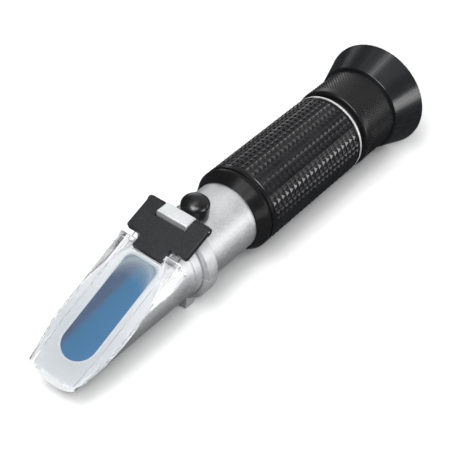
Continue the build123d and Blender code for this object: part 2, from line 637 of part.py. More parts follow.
# Bright ring behind the grip
with BuildPart() as grip_rear_ring:
    turn_tube(X_REAR_RING, X_TUBE_END, SLEEVE_BORE_RADIUS, REAR_RING_RADIUS)
    outer_edges = grip_rear_ring.edges().filter_by(GeomType.CIRCLE).sort_by(SortBy.RADIUS)[-2:]
    chamfer(outer_edges, REAR_RING_CHAMFER)
grip_rear_ring.part.label = "grip_rear_ring"

# Eyepiece seat: pushed into the tube's end, its guide carries the focus ring and its bore the lenses
X_SEAT = X_TUBE_END - SEAT_REACH
X_FLANGE_END = X_EYECUP - FLANGE_SETBACK
X_FLANGE = X_FLANGE_END - FLANGE_LENGTH
X_STOP = X_FLANGE - PUSH_FIT - FLANGE_STOP_LENGTH
X_GUIDE_END = X_STOP - FOCUS_TRAVEL - FOCUS_MARGIN
X_SEAT_SEAL = X_GUIDE_END - SEAT_SEAL_SETBACK
SEAT_SEAL_WIDTH = 2 * SEAL_SECTION_RADIUS + 2 * PUSH_FIT
with BuildPart() as eyepiece_seat:
    turn_tube(X_SEAT, X_TUBE_END, SEAT_BORE_RADIUS, TUBE_BORE_RADIUS - PUSH_FIT)
    turn_tube(X_TUBE_END, X_GUIDE_END, SEAT_BORE_RADIUS, GUIDE_RADIUS)
    turn_tube(
        X_SEAT_SEAL - SEAT_SEAL_WIDTH / 2,
        X_SEAT_SEAL + SEAT_SEAL_WIDTH / 2,
        0,
        SEAT_BORE_RADIUS + SEAT_SEAL_WIDTH,
        Mode.SUBTRACT,
    )
eyepiece_seat.part.label = "eyepiece_seat"

# Seat seal: the rubber ring in the seat's bore that the lens tube slides through
EYEPIECE_RADIUS = SEAT_BORE_RADIUS - RUNNING_FIT
with BuildPart() as seat_seal:
    turn_seal(X_SEAT_SEAL, EYEPIECE_RADIUS + RUNNING_FIT + SEAL_SECTION_RADIUS, SEAL_SECTION_RADIUS)
seat_seal.part.label = "seat_seal"

# Lens tube of the eyepiece, with a flange that the focus ring and the eyecup hold between them
X_LENS_TUBE = X_FLANGE_END - EYEPIECE_LENGTH
LENS_BORE_RADIUS = EYEPIECE_RADIUS - EYEPIECE_WALL
X_LENS_LIP = X_FLANGE_END - LENS_LIP_LENGTH
FOCUS_BORE_RADIUS = GUIDE_RADIUS + RUNNING_FIT
with BuildPart() as eyepiece_tube:
    turn_tube(X_LENS_TUBE, X_FLANGE_END, LENS_BORE_RADIUS - LENS_LIP, EYEPIECE_RADIUS)
    turn_tube(X_FLANGE, X_FLANGE_END, EYEPIECE_RADIUS, FOCUS_BORE_RADIUS - RUNNING_FIT)
    turn_tube(X_LENS_TUBE, X_LENS_LIP, 0, LENS_BORE_RADIUS, Mode.SUBTRACT)
eyepiece_tube.part.label = "eyepiece_tube"

# Lenses of the eyepiece, with a spacer between them and a ring that holds them in
LENS_RADIUS = LENS_BORE_RADIUS - PUSH_FIT
LENS_APERTURE_RADIUS = LENS_RADIUS - RETAINER_WIDTH
X_EYE_LENS = X_LENS_LIP - PUSH_FIT - LENS_EDGE
X_LENS_RETAINER = X_LENS_TUBE + LENS_LIP
X_FIELD_LENS = X_LENS_RETAINER + LENS_RETAINER_LENGTH + PUSH_FIT
with BuildPart() as eye_lens:
    turn_lens(X_EYE_LENS, LENS_EDGE, LENS_RADIUS, LENS_APERTURE_RADIUS, LENS_BULGE)
eye_lens.part.label = "eye_lens"

with BuildPart() as field_lens:
    turn_lens(X_FIELD_LENS, LENS_EDGE, LENS_RADIUS, LENS_APERTURE_RADIUS, LENS_BULGE)
field_lens.part.label = "field_lens"

with BuildPart() as lens_spacer:
    turn_tube(
        X_FIELD_LENS + LENS_EDGE + PUSH_FIT, X_EYE_LENS - PUSH_FIT, LENS_RADIUS - SPACER_WALL, LENS_RADIUS
    )
lens_spacer.part.label = "lens_spacer"

with BuildPart() as lens_retainer:
    turn_tube(
        X_LENS_RETAINER, X_LENS_RETAINER + LENS_RETAINER_LENGTH, LENS_RADIUS - RETAINER_WIDTH, LENS_RADIUS
    )
lens_retainer.part.label = "lens_retainer"

# Focus ring: turns on the seat's guide; a stop inside it bears on the lens tube's flange
with BuildPart() as focus_ring:
    turn(
        [
            (X_FOCUS_RING, FOCUS_BORE_RADIUS),
            (X_STOP, FOCUS_BORE_RADIUS),
            (X_STOP, FOCUS_BORE_RADIUS - FLANGE_STOP_DEPTH),
            (X_STOP + FLANGE_STOP_LENGTH, FOCUS_BORE_RADIUS - FLANGE_STOP_DEPTH),
            (X_STOP + FLANGE_STOP_LENGTH, FOCUS_BORE_RADIUS),
            (X_EYECUP, FOCUS_BORE_RADIUS),
            (X_EYECUP, FOCUS_RING_RADIUS),
            (X_FOCUS_RING + FOCUS_RING_CHAMFER, FOCUS_RING_RADIUS),
            (X_FOCUS_RING, FOCUS_RING_RADIUS - FOCUS_RING_CHAMFER),
        ]
    )
focus_ring.part.label = "focus_ring"

# Eyecup: a flared cup on a hub that is pushed into the focus ring behind the flange
X_HUB = X_FLANGE_END + PUSH_FIT
X_CUP_FLOOR = X_EYECUP + EYECUP_HUB_LENGTH
with BuildPart() as eyecup:
    turn(
        [
            (X_HUB, EYE_APERTURE_RADIUS),
            (X_HUB, FOCUS_BORE_RADIUS - PUSH_FIT),
            (X_EYECUP, FOCUS_BORE_RADIUS - PUSH_FIT),
            (X_EYECUP, EYECUP_NECK_RADIUS),
            (X_RIM, EYECUP_RIM_RADIUS),
            (X_RIM, EYECUP_RIM_RADIUS - EYECUP_WALL),
            (X_CUP_FLOOR, EYECUP_INNER_RADIUS),
            (X_CUP_FLOOR, EYE_APERTURE_RADIUS),
        ]
    )
eyecup.part.label = "eyecup"

# Hinge flap: a black plate with a tongue, a notch round the block and a knuckle on each ear
NOTCH_HALF_WIDTH = BLOCK_HALF_WIDTH + NOTCH_SIDE_GAP
EAR_WIDTH = FLAP_HALF_WIDTH - NOTCH_HALF_WIDTH
with BuildPart() as hinge_flap:
    with BuildSketch(FLAP_BOTTOM) as flap_outline:
        with Locations(((FLAP_REAR_REACH - FLAP_WING_REACH) / 2, 0)):
            Rectangle(FLAP_REAR_REACH + FLAP_WING_REACH, 2 * FLAP_HALF_WIDTH)
        fillet(flap_outline.vertices(), FLAP_CORNER)
        with Locations((-FLAP_TONGUE_REACH / 2, 0)):
            Rectangle(FLAP_TONGUE_REACH, 2 * TONGUE_HALF_WIDTH)
    extrude(amount=FLAP_THICKNESS)
    fillet(hinge_flap.faces().sort_by(Axis.Z)[-1].edges(), FLAP_EDGE_ROUND)
    for side in (-1, 1):
        with Locations(Location((X_PIN, side * (FLAP_HALF_WIDTH - EAR_WIDTH / 2), Z_PIN), (90, 0, 0))):
            Cylinder(KNUCKLE_RADIUS, EAR_WIDTH)
    with BuildSketch(Plane.XY.offset(AXIS_Z)):
        with Locations((X_BLOCK - NOTCH_FRONT_GAP, 0)):
            Rectangle(2 * BLOCK_LENGTH, 2 * NOTCH_HALF_WIDTH, align=(Align.MIN, Align.CENTER))
    extrude(amount=2 * GRIP_RADIUS, mode=Mode.SUBTRACT)
    with BuildSketch(Plane.XZ.offset(-FLAP_HALF_WIDTH)):
        with Locations((X_PIN, Z_PIN)):
            Circle(PIN_RADIUS)
    extrude(amount=2 * FLAP_HALF_WIDTH, mode=Mode.SUBTRACT)
hinge_flap.part.label = "hinge_flap"

# Hinge pin: pressed into the flap's ears, turning in the block
with BuildPart() as hinge_pin:
    with BuildSketch(Plane.XZ.offset(-FLAP_HALF_WIDTH)):
        with Locations((X_PIN, Z_PIN)):
            Circle(PIN_RADIUS)
    extrude(amount=2 * FLAP_HALF_WIDTH)
hinge_pin.part.label = "hinge_pin"

# Daylight plate: side skirts that come down beside the head's round back
with BuildPart() as plate_skirts:
    with BuildSketch(PLATE_BOTTOM):
        for side in (-1, 1):
            skirt_y = side * (PLATE_HALF_WIDTH - SKIRT_WIDTH / 2)
            with Locations((PLATE_LENGTH - SKIRT_LENGTH / 2, skirt_y)):
                Rectangle(SKIRT_LENGTH, SKIRT_WIDTH)
    extrude(amount=-SKIRT_DEPTH)
    turn_tube(X_TIP, X_COLLAR, 0, HEAD_RADIUS + MOVING_GAP, Mode.SUBTRACT)

# Daylight plate: tabs bonded under the flap's wings, just behind the lugs
LUG_INNER_Y = TONGUE_HALF_WIDTH + LUG_SIDE_GAP
TAB_START = (PLATE_END_X - X_PIN) / cos(radians(FLAP_ANGLE))
with BuildPart() as plate_tabs:
    with BuildSketch(FLAP_BOTTOM):
        for side in (-1, 1):
            tab_y = side * (LUG_INNER_Y + TAB_WIDTH / 2)
            with Locations((TAB_START - TAB_INSET, tab_y)):
                Rectangle(TAB_LENGTH, TAB_WIDTH, align=(Align.MIN, Align.CENTER))
    extrude(amount=-TAB_THICKNESS)

PLATE_OUTLINE = [
    (0, -PLATE_FRONT_HALF_WIDTH),
    (PLATE_FLARE, -PLATE_HALF_WIDTH),
    (PLATE_LENGTH, -PLATE_HALF_WIDTH),
    (PLATE_LENGTH, PLATE_HALF_WIDTH),
    (PLATE_FLARE, PLATE_HALF_WIDTH),
    (0, PLATE_FRONT_HALF_WIDTH),
]
RAIL_INNER_OUTLINE = [
    (-PLATE_THICKNESS, RAIL_FRONT_WIDTH - PLATE_FRONT_HALF_WIDTH),
    (PLATE_FLARE, RAIL_WIDTH - PLATE_HALF_WIDTH),
    (PLATE_LENGTH, RAIL_WIDTH - PLATE_HALF_WIDTH),
    (PLATE_LENGTH, PLATE_HALF_WIDTH - RAIL_WIDTH),
    (PLATE_FLARE, PLATE_HALF_WIDTH - RAIL_WIDTH),
    (-PLATE_THICKNESS, PLATE_FRONT_HALF_WIDTH - RAIL_FRONT_WIDTH),
]
LUG_WIDTH = PLATE_HALF_WIDTH - LUG_INNER_Y
PLATE_TOP = PLATE_BOTTOM.offset(PLATE_THICKNESS)
X_FLARE = X_TIP + PLATE_FLARE * cos(radians(SLOPE_ANGLE))
with BuildPart() as daylight_plate:
    with BuildSketch(PLATE_BOTTOM):
        with BuildLine():
            Polyline(*PLATE_OUTLINE, close=True)
        make_face()
    extrude(amount=PLATE_THICKNESS + RAIL_HEIGHT)
    with BuildSketch(PLATE_TOP):
        with BuildLine():
            Polyline(*RAIL_INNER_OUTLINE, close=True)
        make_face()
    extrude(amount=RAIL_HEIGHT, mode=Mode.SUBTRACT)
    with BuildSketch(PLATE_TOP):
        for side in (-1, 1):
            lug_y = side * (PLATE_HALF_WIDTH - LUG_WIDTH / 2)
            with Locations((PLATE_LENGTH, lug_y)):
                Rectangle(LUG_RIB_LENGTH, LUG_WIDTH, align=(Align.MAX, Align.CENTER))
    extrude(amount=LUG_RIB_HEIGHT)
    turn_tube(X_TIP - HEAD_RADIUS, X_FLARE, HEAD_RADIUS, 2 * HEAD_RADIUS, Mode.SUBTRACT)
    turn_tube(X_TIP - HEAD_RADIUS, X_TIP, 0, 2 * HEAD_RADIUS, Mode.SUBTRACT)
    add(plate_skirts.part)
    add(plate_tabs.part)
    with BuildSketch(FLAP_BOTTOM):
        with Locations((-(FLAP_TONGUE_REACH + LUG_SIDE_GAP), 0)):
            Rectangle(
                2 * FLAP_TONGUE_REACH, 2 * LUG_INNER_Y, align=(Align.MIN, Align.CENTER)
            )
    extrude(amount=HEAD_RADIUS, both=True, mode=Mode.SUBTRACT)
daylight_plate.part.label = "daylight_plate"

PIECES = [
    head_body, main_prism, prism_seal, head_seal, hinge_collar, foot_collar, main_tube, screw_bush,
    calibration_screw, screw_boot, lens_carrier, objective_lens, objective_ring, bimetal_strip,
    strip_block, strip_screw, light_baffle, reticle_holder, reticle, reticle_ring, grip_front_ring,
    rubber_grip, grip_rear_ring, eyepiece_seat, seat_seal, eyepiece_tube, eye_lens, field_lens,
    lens_spacer, lens_retainer, focus_ring, eyecup, hinge_flap, hinge_pin, daylight_plate,
]
for piece in PIECES:
    export_step(piece.part, f"parts/{piece.part.label}.step")
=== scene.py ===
"""Handheld refractometer lying on its foot and its eyecup: the looks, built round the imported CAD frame."""

import logging
import math
from dataclasses import dataclass
from enum import Enum
from functools import cache, reduce
from typing import Callable

import bmesh
import bpy
from mathutils import Matrix, Vector


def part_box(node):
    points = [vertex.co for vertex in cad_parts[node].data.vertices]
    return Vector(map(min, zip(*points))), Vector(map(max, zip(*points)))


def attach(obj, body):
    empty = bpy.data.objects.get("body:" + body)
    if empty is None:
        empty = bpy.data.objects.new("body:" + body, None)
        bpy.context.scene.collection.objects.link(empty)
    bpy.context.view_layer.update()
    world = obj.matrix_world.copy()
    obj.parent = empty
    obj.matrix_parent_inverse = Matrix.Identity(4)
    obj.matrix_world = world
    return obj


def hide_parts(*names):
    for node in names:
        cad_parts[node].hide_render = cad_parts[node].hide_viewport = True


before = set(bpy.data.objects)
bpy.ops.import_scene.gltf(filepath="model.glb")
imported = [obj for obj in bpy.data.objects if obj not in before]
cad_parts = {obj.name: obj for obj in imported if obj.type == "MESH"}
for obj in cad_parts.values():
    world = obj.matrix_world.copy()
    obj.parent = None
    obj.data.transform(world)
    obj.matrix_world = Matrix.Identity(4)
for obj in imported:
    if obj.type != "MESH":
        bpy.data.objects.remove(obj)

LOG = logging.getLogger("refractometer")
MM = 0.001
TURN = 2 * math.pi
# The head's slope against the barrel's axis.
SLOPE = math.radians(24.0)
SLOPE_NORMAL = Vector((-math.sin(SLOPE), 0.0, math.cos(SLOPE)))
UP = Vector((0.0, 0.0, 1.0))
# Where most of a noise's values lie, and how many finer layers it has unless told otherwise.
NOISE_SPAN = (0.3, 0.7)
SOFT_LAYERS = 3.0
# How CAD copies are merged and shaded; the smooth angles are in degrees.
MERGE_DISTANCE = 0.0005 * MM
FLAT_ANGLE = math.radians(0.4)
SHARP_ANGLE = math.radians(35.0)
SMOOTH_ANGLE = 40.0
KNURL_SMOOTH_ANGLE = 12.0
FLAT_WEIGHT = 90
Socket = bpy.types.NodeSocket
Sockets = bpy.types.bpy_prop_collection
Face = bpy.types.MeshPolygon
Point = tuple[float, float]
Place = tuple[float, float, float]
Colour = tuple[float, float, float]
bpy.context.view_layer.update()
# The barrel's axis over the table, in metres, from the tube's own box.
AXIS_HEIGHT = sum(corner.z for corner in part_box("main_tube")) / 2


class Body(Enum):
    """The CAD bodies that the modelled pieces ride on."""

    BARREL = "barrel"
    COVER = "cover"
    FOCUS = "focus"
    BOOT = "boot"


class Spindle(Enum):
    """The axis that a turned piece is turned about: the barrel's, or the upright screw's."""

    BARREL = "barrel"
    SCREW = "screw"

    def point(self, at: float, along: float, radius: float, angle: float) -> Vector:
        """A point on a turned piece.

        Args:
            at: the screw's place along the barrel, in millimetres.
            along: the point's place along the spindle, from the barrel's axis for the screw.
            radius: its distance from the spindle.
            angle: its angle round the spindle, in radians.

        Returns:
            The point in metres.
        """
        out, side = radius * math.cos(angle), radius * math.sin(angle)
        parts = (along, side, out) if self is Spindle.BARREL else (at + out, side, along)
        return Vector(parts) * MM + Vector((0.0, 0.0, AXIS_HEIGHT))


class Knurl(Enum):
    """The pattern that a knurled sleeve is pressed with."""

    PYRAMIDS = "pyramids"
    DIAMONDS = "diamonds"


class Grain(Enum):
    """How a metal finish's fine lines lie."""

    TURNED = "turned"
    BLASTED = "blasted"
    BRUSHED = "brushed"


# ---- node trees


class Graph:
    """A node tree that is written down call by call."""

    def __init__(self, tree: bpy.types.NodeTree) -> None:
        """Start on a tree, emptied."""
        self.tree = tree
        tree.nodes.clear()

    def node(self, kind: str, **settings: object) -> bpy.types.Node:
        """Add a node and set its properties.

        Args:
            kind: the node's type name.
            settings: its properties by name.

        Returns:
            The new node.
        """
        made = self.tree.nodes.new(kind)
        for name, value in settings.items():
            setattr(made, name, value)
        return made

    def feed(self, socket: Socket, value: object) -> None:
        """Link a socket, or set its own value.

        Args:
            socket: the input socket.
            value: an output socket to link, or a plain value.
        """
        if isinstance(value, Socket):
            self.tree.links.new(value, socket)
        else:
            socket.default_value = value

    def fed(self, kind: str, inputs: dict, **settings: object) -> bpy.types.Node:
        """Add a node with its inputs fed.

        Args:
            kind: the node's type name.
            inputs: values or sockets by input name or number.
            settings: its properties by name.

        Returns:
            The new node.
        """
        made = self.node(kind, **settings)
        for key, value in inputs.items():
            self.feed(made.inputs[key], value)
        return made

    def math(self, operation: str, *values: object) -> Socket:
        """The output of a math node with up to three numbers or sockets."""
        return self.fed("ShaderNodeMath", dict(enumerate(values)), operation=operation).outputs[0]

    def total(self, *values: object) -> Socket:
        """The sum of several numbers or sockets."""
        return reduce(lambda first, second: self.math("ADD", first, second), values)

    def product(self, *values: object) -> Socket:
        """The product of several numbers or sockets."""
        return reduce(lambda first, second: self.math("MULTIPLY", first, second), values)

    def vector(self, operation: str, *values: object) -> Socket:
        """The output of a vector math node: a number for a length, else a vector."""
        outputs = self.fed("ShaderNodeVectorMath", dict(enumerate(values)), operation=operation).outputs
        return outputs["Value" if operation == "LENGTH" else "Vector"]

    def split(self, vector: Socket) -> list[Socket]:
        """The three parts of a vector."""
        return list(self.fed("ShaderNodeSeparateXYZ", {0: vector}).outputs)

    def joined(self, *parts: object) -> Socket:
        """A vector from up to three parts."""
        return self.fed("ShaderNodeCombineXYZ", dict(enumerate(parts))).outputs[0]

    def mapped(self, value: Socket, low: float, high: float, to_low: float, to_high: float) -> Socket:
        """Carry a value from the range low to high to another one, held at the ends."""
        return self.fed("ShaderNodeMapRange", {0: value, 1: low, 2: high, 3: to_low, 4: to_high}).outputs[0]

    def share(self, value: Socket, low: float, high: float) -> Socket:
        """0 up to a low value, 1 from a high one."""
        return self.mapped(value, low, high, 0.0, 1.0)

    def spread(self, noise: Socket, to_low: float, to_high: float) -> Socket:
        """Carry the span that most of a noise lies in to another range."""
        return self.mapped(noise, *NOISE_SPAN, to_low, to_high)

    def sway(self, noise: Socket, amount: float) -> Socket:
        """Turn noise into a swing of an amount either way."""
        return self.spread(noise, -amount, amount)

    def mix(self, share: object, first: object, second: object) -> Socket:
        """Mix two colours.

        Args:
            share: how much of the second colour.
            first: the first colour or socket.
            second: the second colour or socket.

        Returns:
            The mixed colour.
        """
        made = self.node("ShaderNodeMix", data_type="RGBA")
        for number, value in ((0, share), (6, first), (7, second)):
            self.feed(made.inputs[number], value if isinstance(value, (Socket, float, int)) else (*value, 1.0))
        return made.outputs[2]

    def place(self, scale: Place = (1.0, 1.0, 1.0), centre: Place = (0.0, 0.0, 0.0)) -> Socket:
        """Object coordinates, with their origin moved to a centre and then scaled."""
        where = self.node("ShaderNodeTexCoord").outputs["Object"]
        return self.vector("MULTIPLY", self.vector("SUBTRACT", where, centre), scale)

    def noise(self, where: Socket, scale: float, detail: float = SOFT_LAYERS, rough: float = 0.5) -> Socket:
        """Smooth noise, about 0.5 on average, with `detail` finer layers of strength `rough`."""
        inputs = {"Vector": where, "Scale": scale, "Detail": detail, "Roughness": rough}
        return self.fed("ShaderNodeTexNoise", inputs).outputs[0]

    def bump(self, height: Socket, distance: float) -> Socket:
        """The normal for a height, of which 1 stands for a distance in millimetres."""
        return self.fed("ShaderNodeBump", {"Height": height, "Distance": distance * MM}).outputs[0]

    def from_barrel(self) -> Socket:
        """The way out from the barrel's axis, in metres."""
        return self.place((0.0, 1.0, 1.0), (0.0, 0.0, AXIS_HEIGHT))

    def barrel_radius(self) -> Socket:
        """The distance from the barrel's axis, in metres."""
        return self.vector("LENGTH", self.from_barrel())


# ---- finishes


@dataclass(frozen=True)
class Finish:
    """A finish on one shader: what is the same all over is set on the shader's own sockets."""

    name: str
    slot: str
    colour: Colour
    roughness: float
    metallic: float = 0.0
    specular: float = 0.5
    coat: float = 0.0
    coat_roughness: float = 0.05
    transmission: float = 0.0
    ior: float = 1.5

    @cache
    def material(self) -> bpy.types.Material:
        """The material, made once and then reused.

        Returns:
            The material.
        """
        made = bpy.data.materials.new(self.name)
        made.use_nodes = True
        g = Graph(made.node_tree)
        shader = g.node("ShaderNodeBsdfPrincipled")
        g.tree.links.new(shader.outputs[0], g.node("ShaderNodeOutputMaterial").inputs[0])
        uniform = {
            "Base Color": (*self.colour, 1.0),
            "Roughness": self.roughness,
            "Metallic": self.metallic,
            "Specular IOR Level": self.specular,
            "Coat Weight": self.coat,
            "Coat Roughness": self.coat_roughness,
            "Transmission Weight": self.transmission,
            "IOR": self.ior,
        }
        for name, value in uniform.items():
            shader.inputs[name].default_value = value
        self.paint(g, shader.inputs)
        return made

    def paint(self, g: Graph, inputs: Sockets) -> None:
        """Add what varies over the surface."""
        raise NotImplementedError

    def tinted(self, factor: float) -> Colour:
        """The finish's colour times a factor."""
        return tuple(part * factor for part in self.colour)


@dataclass(frozen=True)
class Metal(Finish):
    """Machined or blasted metal, with fine lines or grain and a faint patchiness from handling."""

    metallic: float = 1.0
    grain: Grain = Grain.TURNED
    grain_depth: float = 0.004
    line_scale: float = 5200.0
    brush_scale: Place = (400.0, 6000.0, 6000.0)
    line_gloss: float = 0.05
    patch: float = 0.08
    patch_scale: float = 130.0
    mottle_scale: float = 1500.0
    mottle_gloss: float = 0.06
    patch_span: Point = (0.35, 0.65)
    speckle: float = 0.92
    # Painted shade: how strongly ambient occlusion darkens the colour in joints and grooves.
    painted_joint_shade: float = 0.0
    shade_reach: float = 1.6
    shade_span: Point = (0.25, 0.8)
    shade_samples: int = 12

    def lines(self, g: Graph) -> Socket:
        """Height of the fine lines or grain.

        Args:
            g: the material's graph.

        Returns:
            The height, 0 to 1.
        """
        if self.grain is Grain.TURNED:
            return g.noise(g.joined(g.split(g.place())[0], g.barrel_radius()), self.line_scale, 2.0, 0.6)
        scale = self.brush_scale if self.grain is Grain.BRUSHED else (self.line_scale,) * 3
        return g.noise(g.place(scale), 1.0, SOFT_LAYERS, 0.6)

    def paint(self, g: Graph, inputs: Sockets) -> None:
        """Fine lines in the height, patches in the roughness and the colour, painted shade in the joints.

        Args:
            g: the material's graph.
            inputs: its shader's inputs.
        """
        lines = self.lines(g)
        patches = g.noise(g.place(), self.patch_scale, 4.0, 0.6)
        mottle = g.noise(g.place(), self.mottle_scale, 2.0, 0.6)
        swings = (g.sway(patches, self.patch), g.sway(mottle, self.mottle_gloss), g.sway(lines, self.line_gloss))
        g.feed(inputs["Roughness"], g.total(self.roughness, *swings))
        worn = g.mix(g.share(patches, *self.patch_span), self.tinted(1 - self.patch), self.colour)
        grey = g.joined(self.speckle, self.speckle, self.speckle)
        spotted = g.fed("ShaderNodeMix", {0: 1.0, 6: worn, 7: grey}, data_type="RGBA", blend_type="MULTIPLY").outputs[2]
        colour = g.mix(g.share(mottle, *self.patch_span), spotted, worn)
        # Painted shade: the colour darkened where ambient occlusion finds joints and grooves.
        if self.painted_joint_shade > 0:
            reach = {"Distance": self.shade_reach * MM}
            open_share = g.fed("ShaderNodeAmbientOcclusion", reach, samples=self.shade_samples).outputs["AO"]
            colour = g.mix(g.share(open_share, *self.shade_span), self.tinted(1 - self.painted_joint_shade), colour)
        g.feed(inputs["Base Color"], colour)
        g.feed(inputs["Normal"], g.bump(lines, self.grain_depth))


@dataclass(frozen=True)
class MilledSlope(Metal):
    """The milled slope under the clear cover, its colour painted paler towards its rear as painted light."""

    # Painted light: the slope's paler colour at its rear.
    rear: Colour = (0.90, 0.91, 0.91)
    painted_light_from: float = -0.35
    blur: float = 0.08
    blur_scale: float = 900.0

    def paint(self, g: Graph, inputs: Sockets) -> None:
        """The metal's grain, with painted light: the colour paler towards the rear.

        Args:
            g: the material's graph.
            inputs: its shader's inputs.
        """
        super().paint(g, inputs)
        low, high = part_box("prism_seal")
        along = g.mapped(g.split(g.place())[0], low.x, high.x, self.painted_light_from, 1.0)
        mottle = g.noise(g.place(), self.blur_scale, SOFT_LAYERS, 0.6)
        share = g.share(g.total(along, g.sway(mottle, self.blur)), 0.0, 1.0)
        g.feed(inputs["Base Color"], g.mix(share, self.colour, self.rear))


@dataclass(frozen=True)
class Moulded(Finish):
    """Moulded plastic or rubber: fine skin grain, slight unevenness of colour and gloss."""

    grain_size: float = 0.25
    grain_depth: float = 0.006
    cell_depth: float = 0.6
    finer: float = 2.2
    patch_scale: float = 160.0
    patch_gloss: Point = (-0.04, 0.06)
    lift: float = 1.35
    fleck: float = 0.0
    fleck_scale: float = 1300.0
    fleck_span: Point = (0.48, 0.68)

    def paint(self, g: Graph, inputs: Sockets) -> None:
        """Skin grain in the height, soft patches in the roughness and the colour, pale flecks.

        Args:
            g: the material's graph.
            inputs: its shader's inputs.
        """
        cells = 1 / (self.grain_size * MM)
        skin = g.fed("ShaderNodeTexVoronoi", {"Vector": g.place(), "Scale": cells}).outputs[0]
        grain = g.noise(g.place(), self.finer * cells, 2.0, 0.55)
        patches = g.noise(g.place(), self.patch_scale, 4.0, 0.6)
        colour = g.mix(g.spread(patches, 0.0, 1.0), self.colour, self.tinted(self.lift))
        if self.fleck > 0:
            flecks = g.noise(g.place(), self.fleck_scale, 2.0, 0.6)
            colour = g.mix(g.share(flecks, *self.fleck_span), colour, self.tinted(1 + self.fleck))
        g.feed(inputs["Base Color"], colour)
        g.feed(inputs["Roughness"], g.total(g.spread(patches, *self.patch_gloss), self.roughness))
        height = g.product(g.share(skin, 0.0, self.cell_depth), grain)
        g.feed(inputs["Normal"], g.bump(height, self.grain_depth))


@dataclass(frozen=True)
class TurnedGloss(Finish):
    """Glossy black that was turned on a lathe, so its highlights spread out like a fan."""

    line_pitch: float = 0.12
    line_depth: float = 0.0022
    line_gloss: float = 0.05
    stretch: float = 0.55
    quarter_turn: float = 0.25
    streak: float = 0.35
    streak_scale: float = 26.0
    streak_gloss: float = 0.06
    dust_lift: float = 1.5
    dust_scale: float = 240.0
    dust_span: Point = (0.35, 0.7)

    def paint(self, g: Graph, inputs: Sockets) -> None:
        """Fine rings in the height, a highlight stretched about the barrel, streaks out from its axis, faint dust.

        Args:
            g: the material's graph.
            inputs: its shader's inputs.
        """
        across = g.total(g.split(g.place())[0], g.barrel_radius())
        rings = g.noise(g.joined(across), 1 / (self.line_pitch * MM), SOFT_LAYERS, 0.65)
        dust = g.noise(g.place(), self.dust_scale, 5.0, 0.65)
        streaks = g.noise(g.vector("NORMALIZE", g.from_barrel()), self.streak_scale, 5.0, 0.7)
        g.feed(inputs["Base Color"], g.mix(g.share(dust, *self.dust_span), self.colour, self.tinted(self.dust_lift)))
        swings = (g.sway(rings, self.line_gloss), g.sway(streaks, -self.streak_gloss))
        g.feed(inputs["Roughness"], g.total(self.roughness, *swings))
        weak, strong = self.specular * (1 - self.streak), self.specular * (1 + self.streak)
        g.feed(inputs["Specular IOR Level"], g.spread(streaks, weak, strong))
        g.feed(inputs["Normal"], g.bump(rings, self.line_depth))
        inputs["Anisotropic"].default_value = self.stretch
        inputs["Anisotropic Rotation"].default_value = self.quarter_turn
        g.feed(inputs["Tangent"], g.node("ShaderNodeTangent", direction_type="RADIAL", axis="X").outputs[0])


@dataclass(frozen=True)
class ClearPlastic(Finish):
    """Clear moulded acrylic with faint flow marks and wiping haze."""

    transmission: float = 1.0
    ior: float = 1.49
    haze: float = 0.03
    wiping_scale: Place = (220.0, 500.0, 500.0)
    wiping_span: Point = (0.35, 0.75)
    flow_depth: float = 0.004
    flow_scale: Place = (60.0, 260.0, 260.0)

    def paint(self, g: Graph, inputs: Sockets) -> None:
        """Haze in the roughness, flow marks in the height.

        Args:
            g: the material's graph.
            inputs: its shader's inputs.
        """
        flow = g.noise(g.place(self.flow_scale), 1.0)
        wiping = g.noise(g.place(self.wiping_scale), 1.0, 5.0, 0.6)
        g.feed(inputs["Roughness"], g.mapped(wiping, *self.wiping_span, self.roughness, self.roughness + self.haze))
        g.feed(inputs["Normal"], g.bump(flow, self.flow_depth))


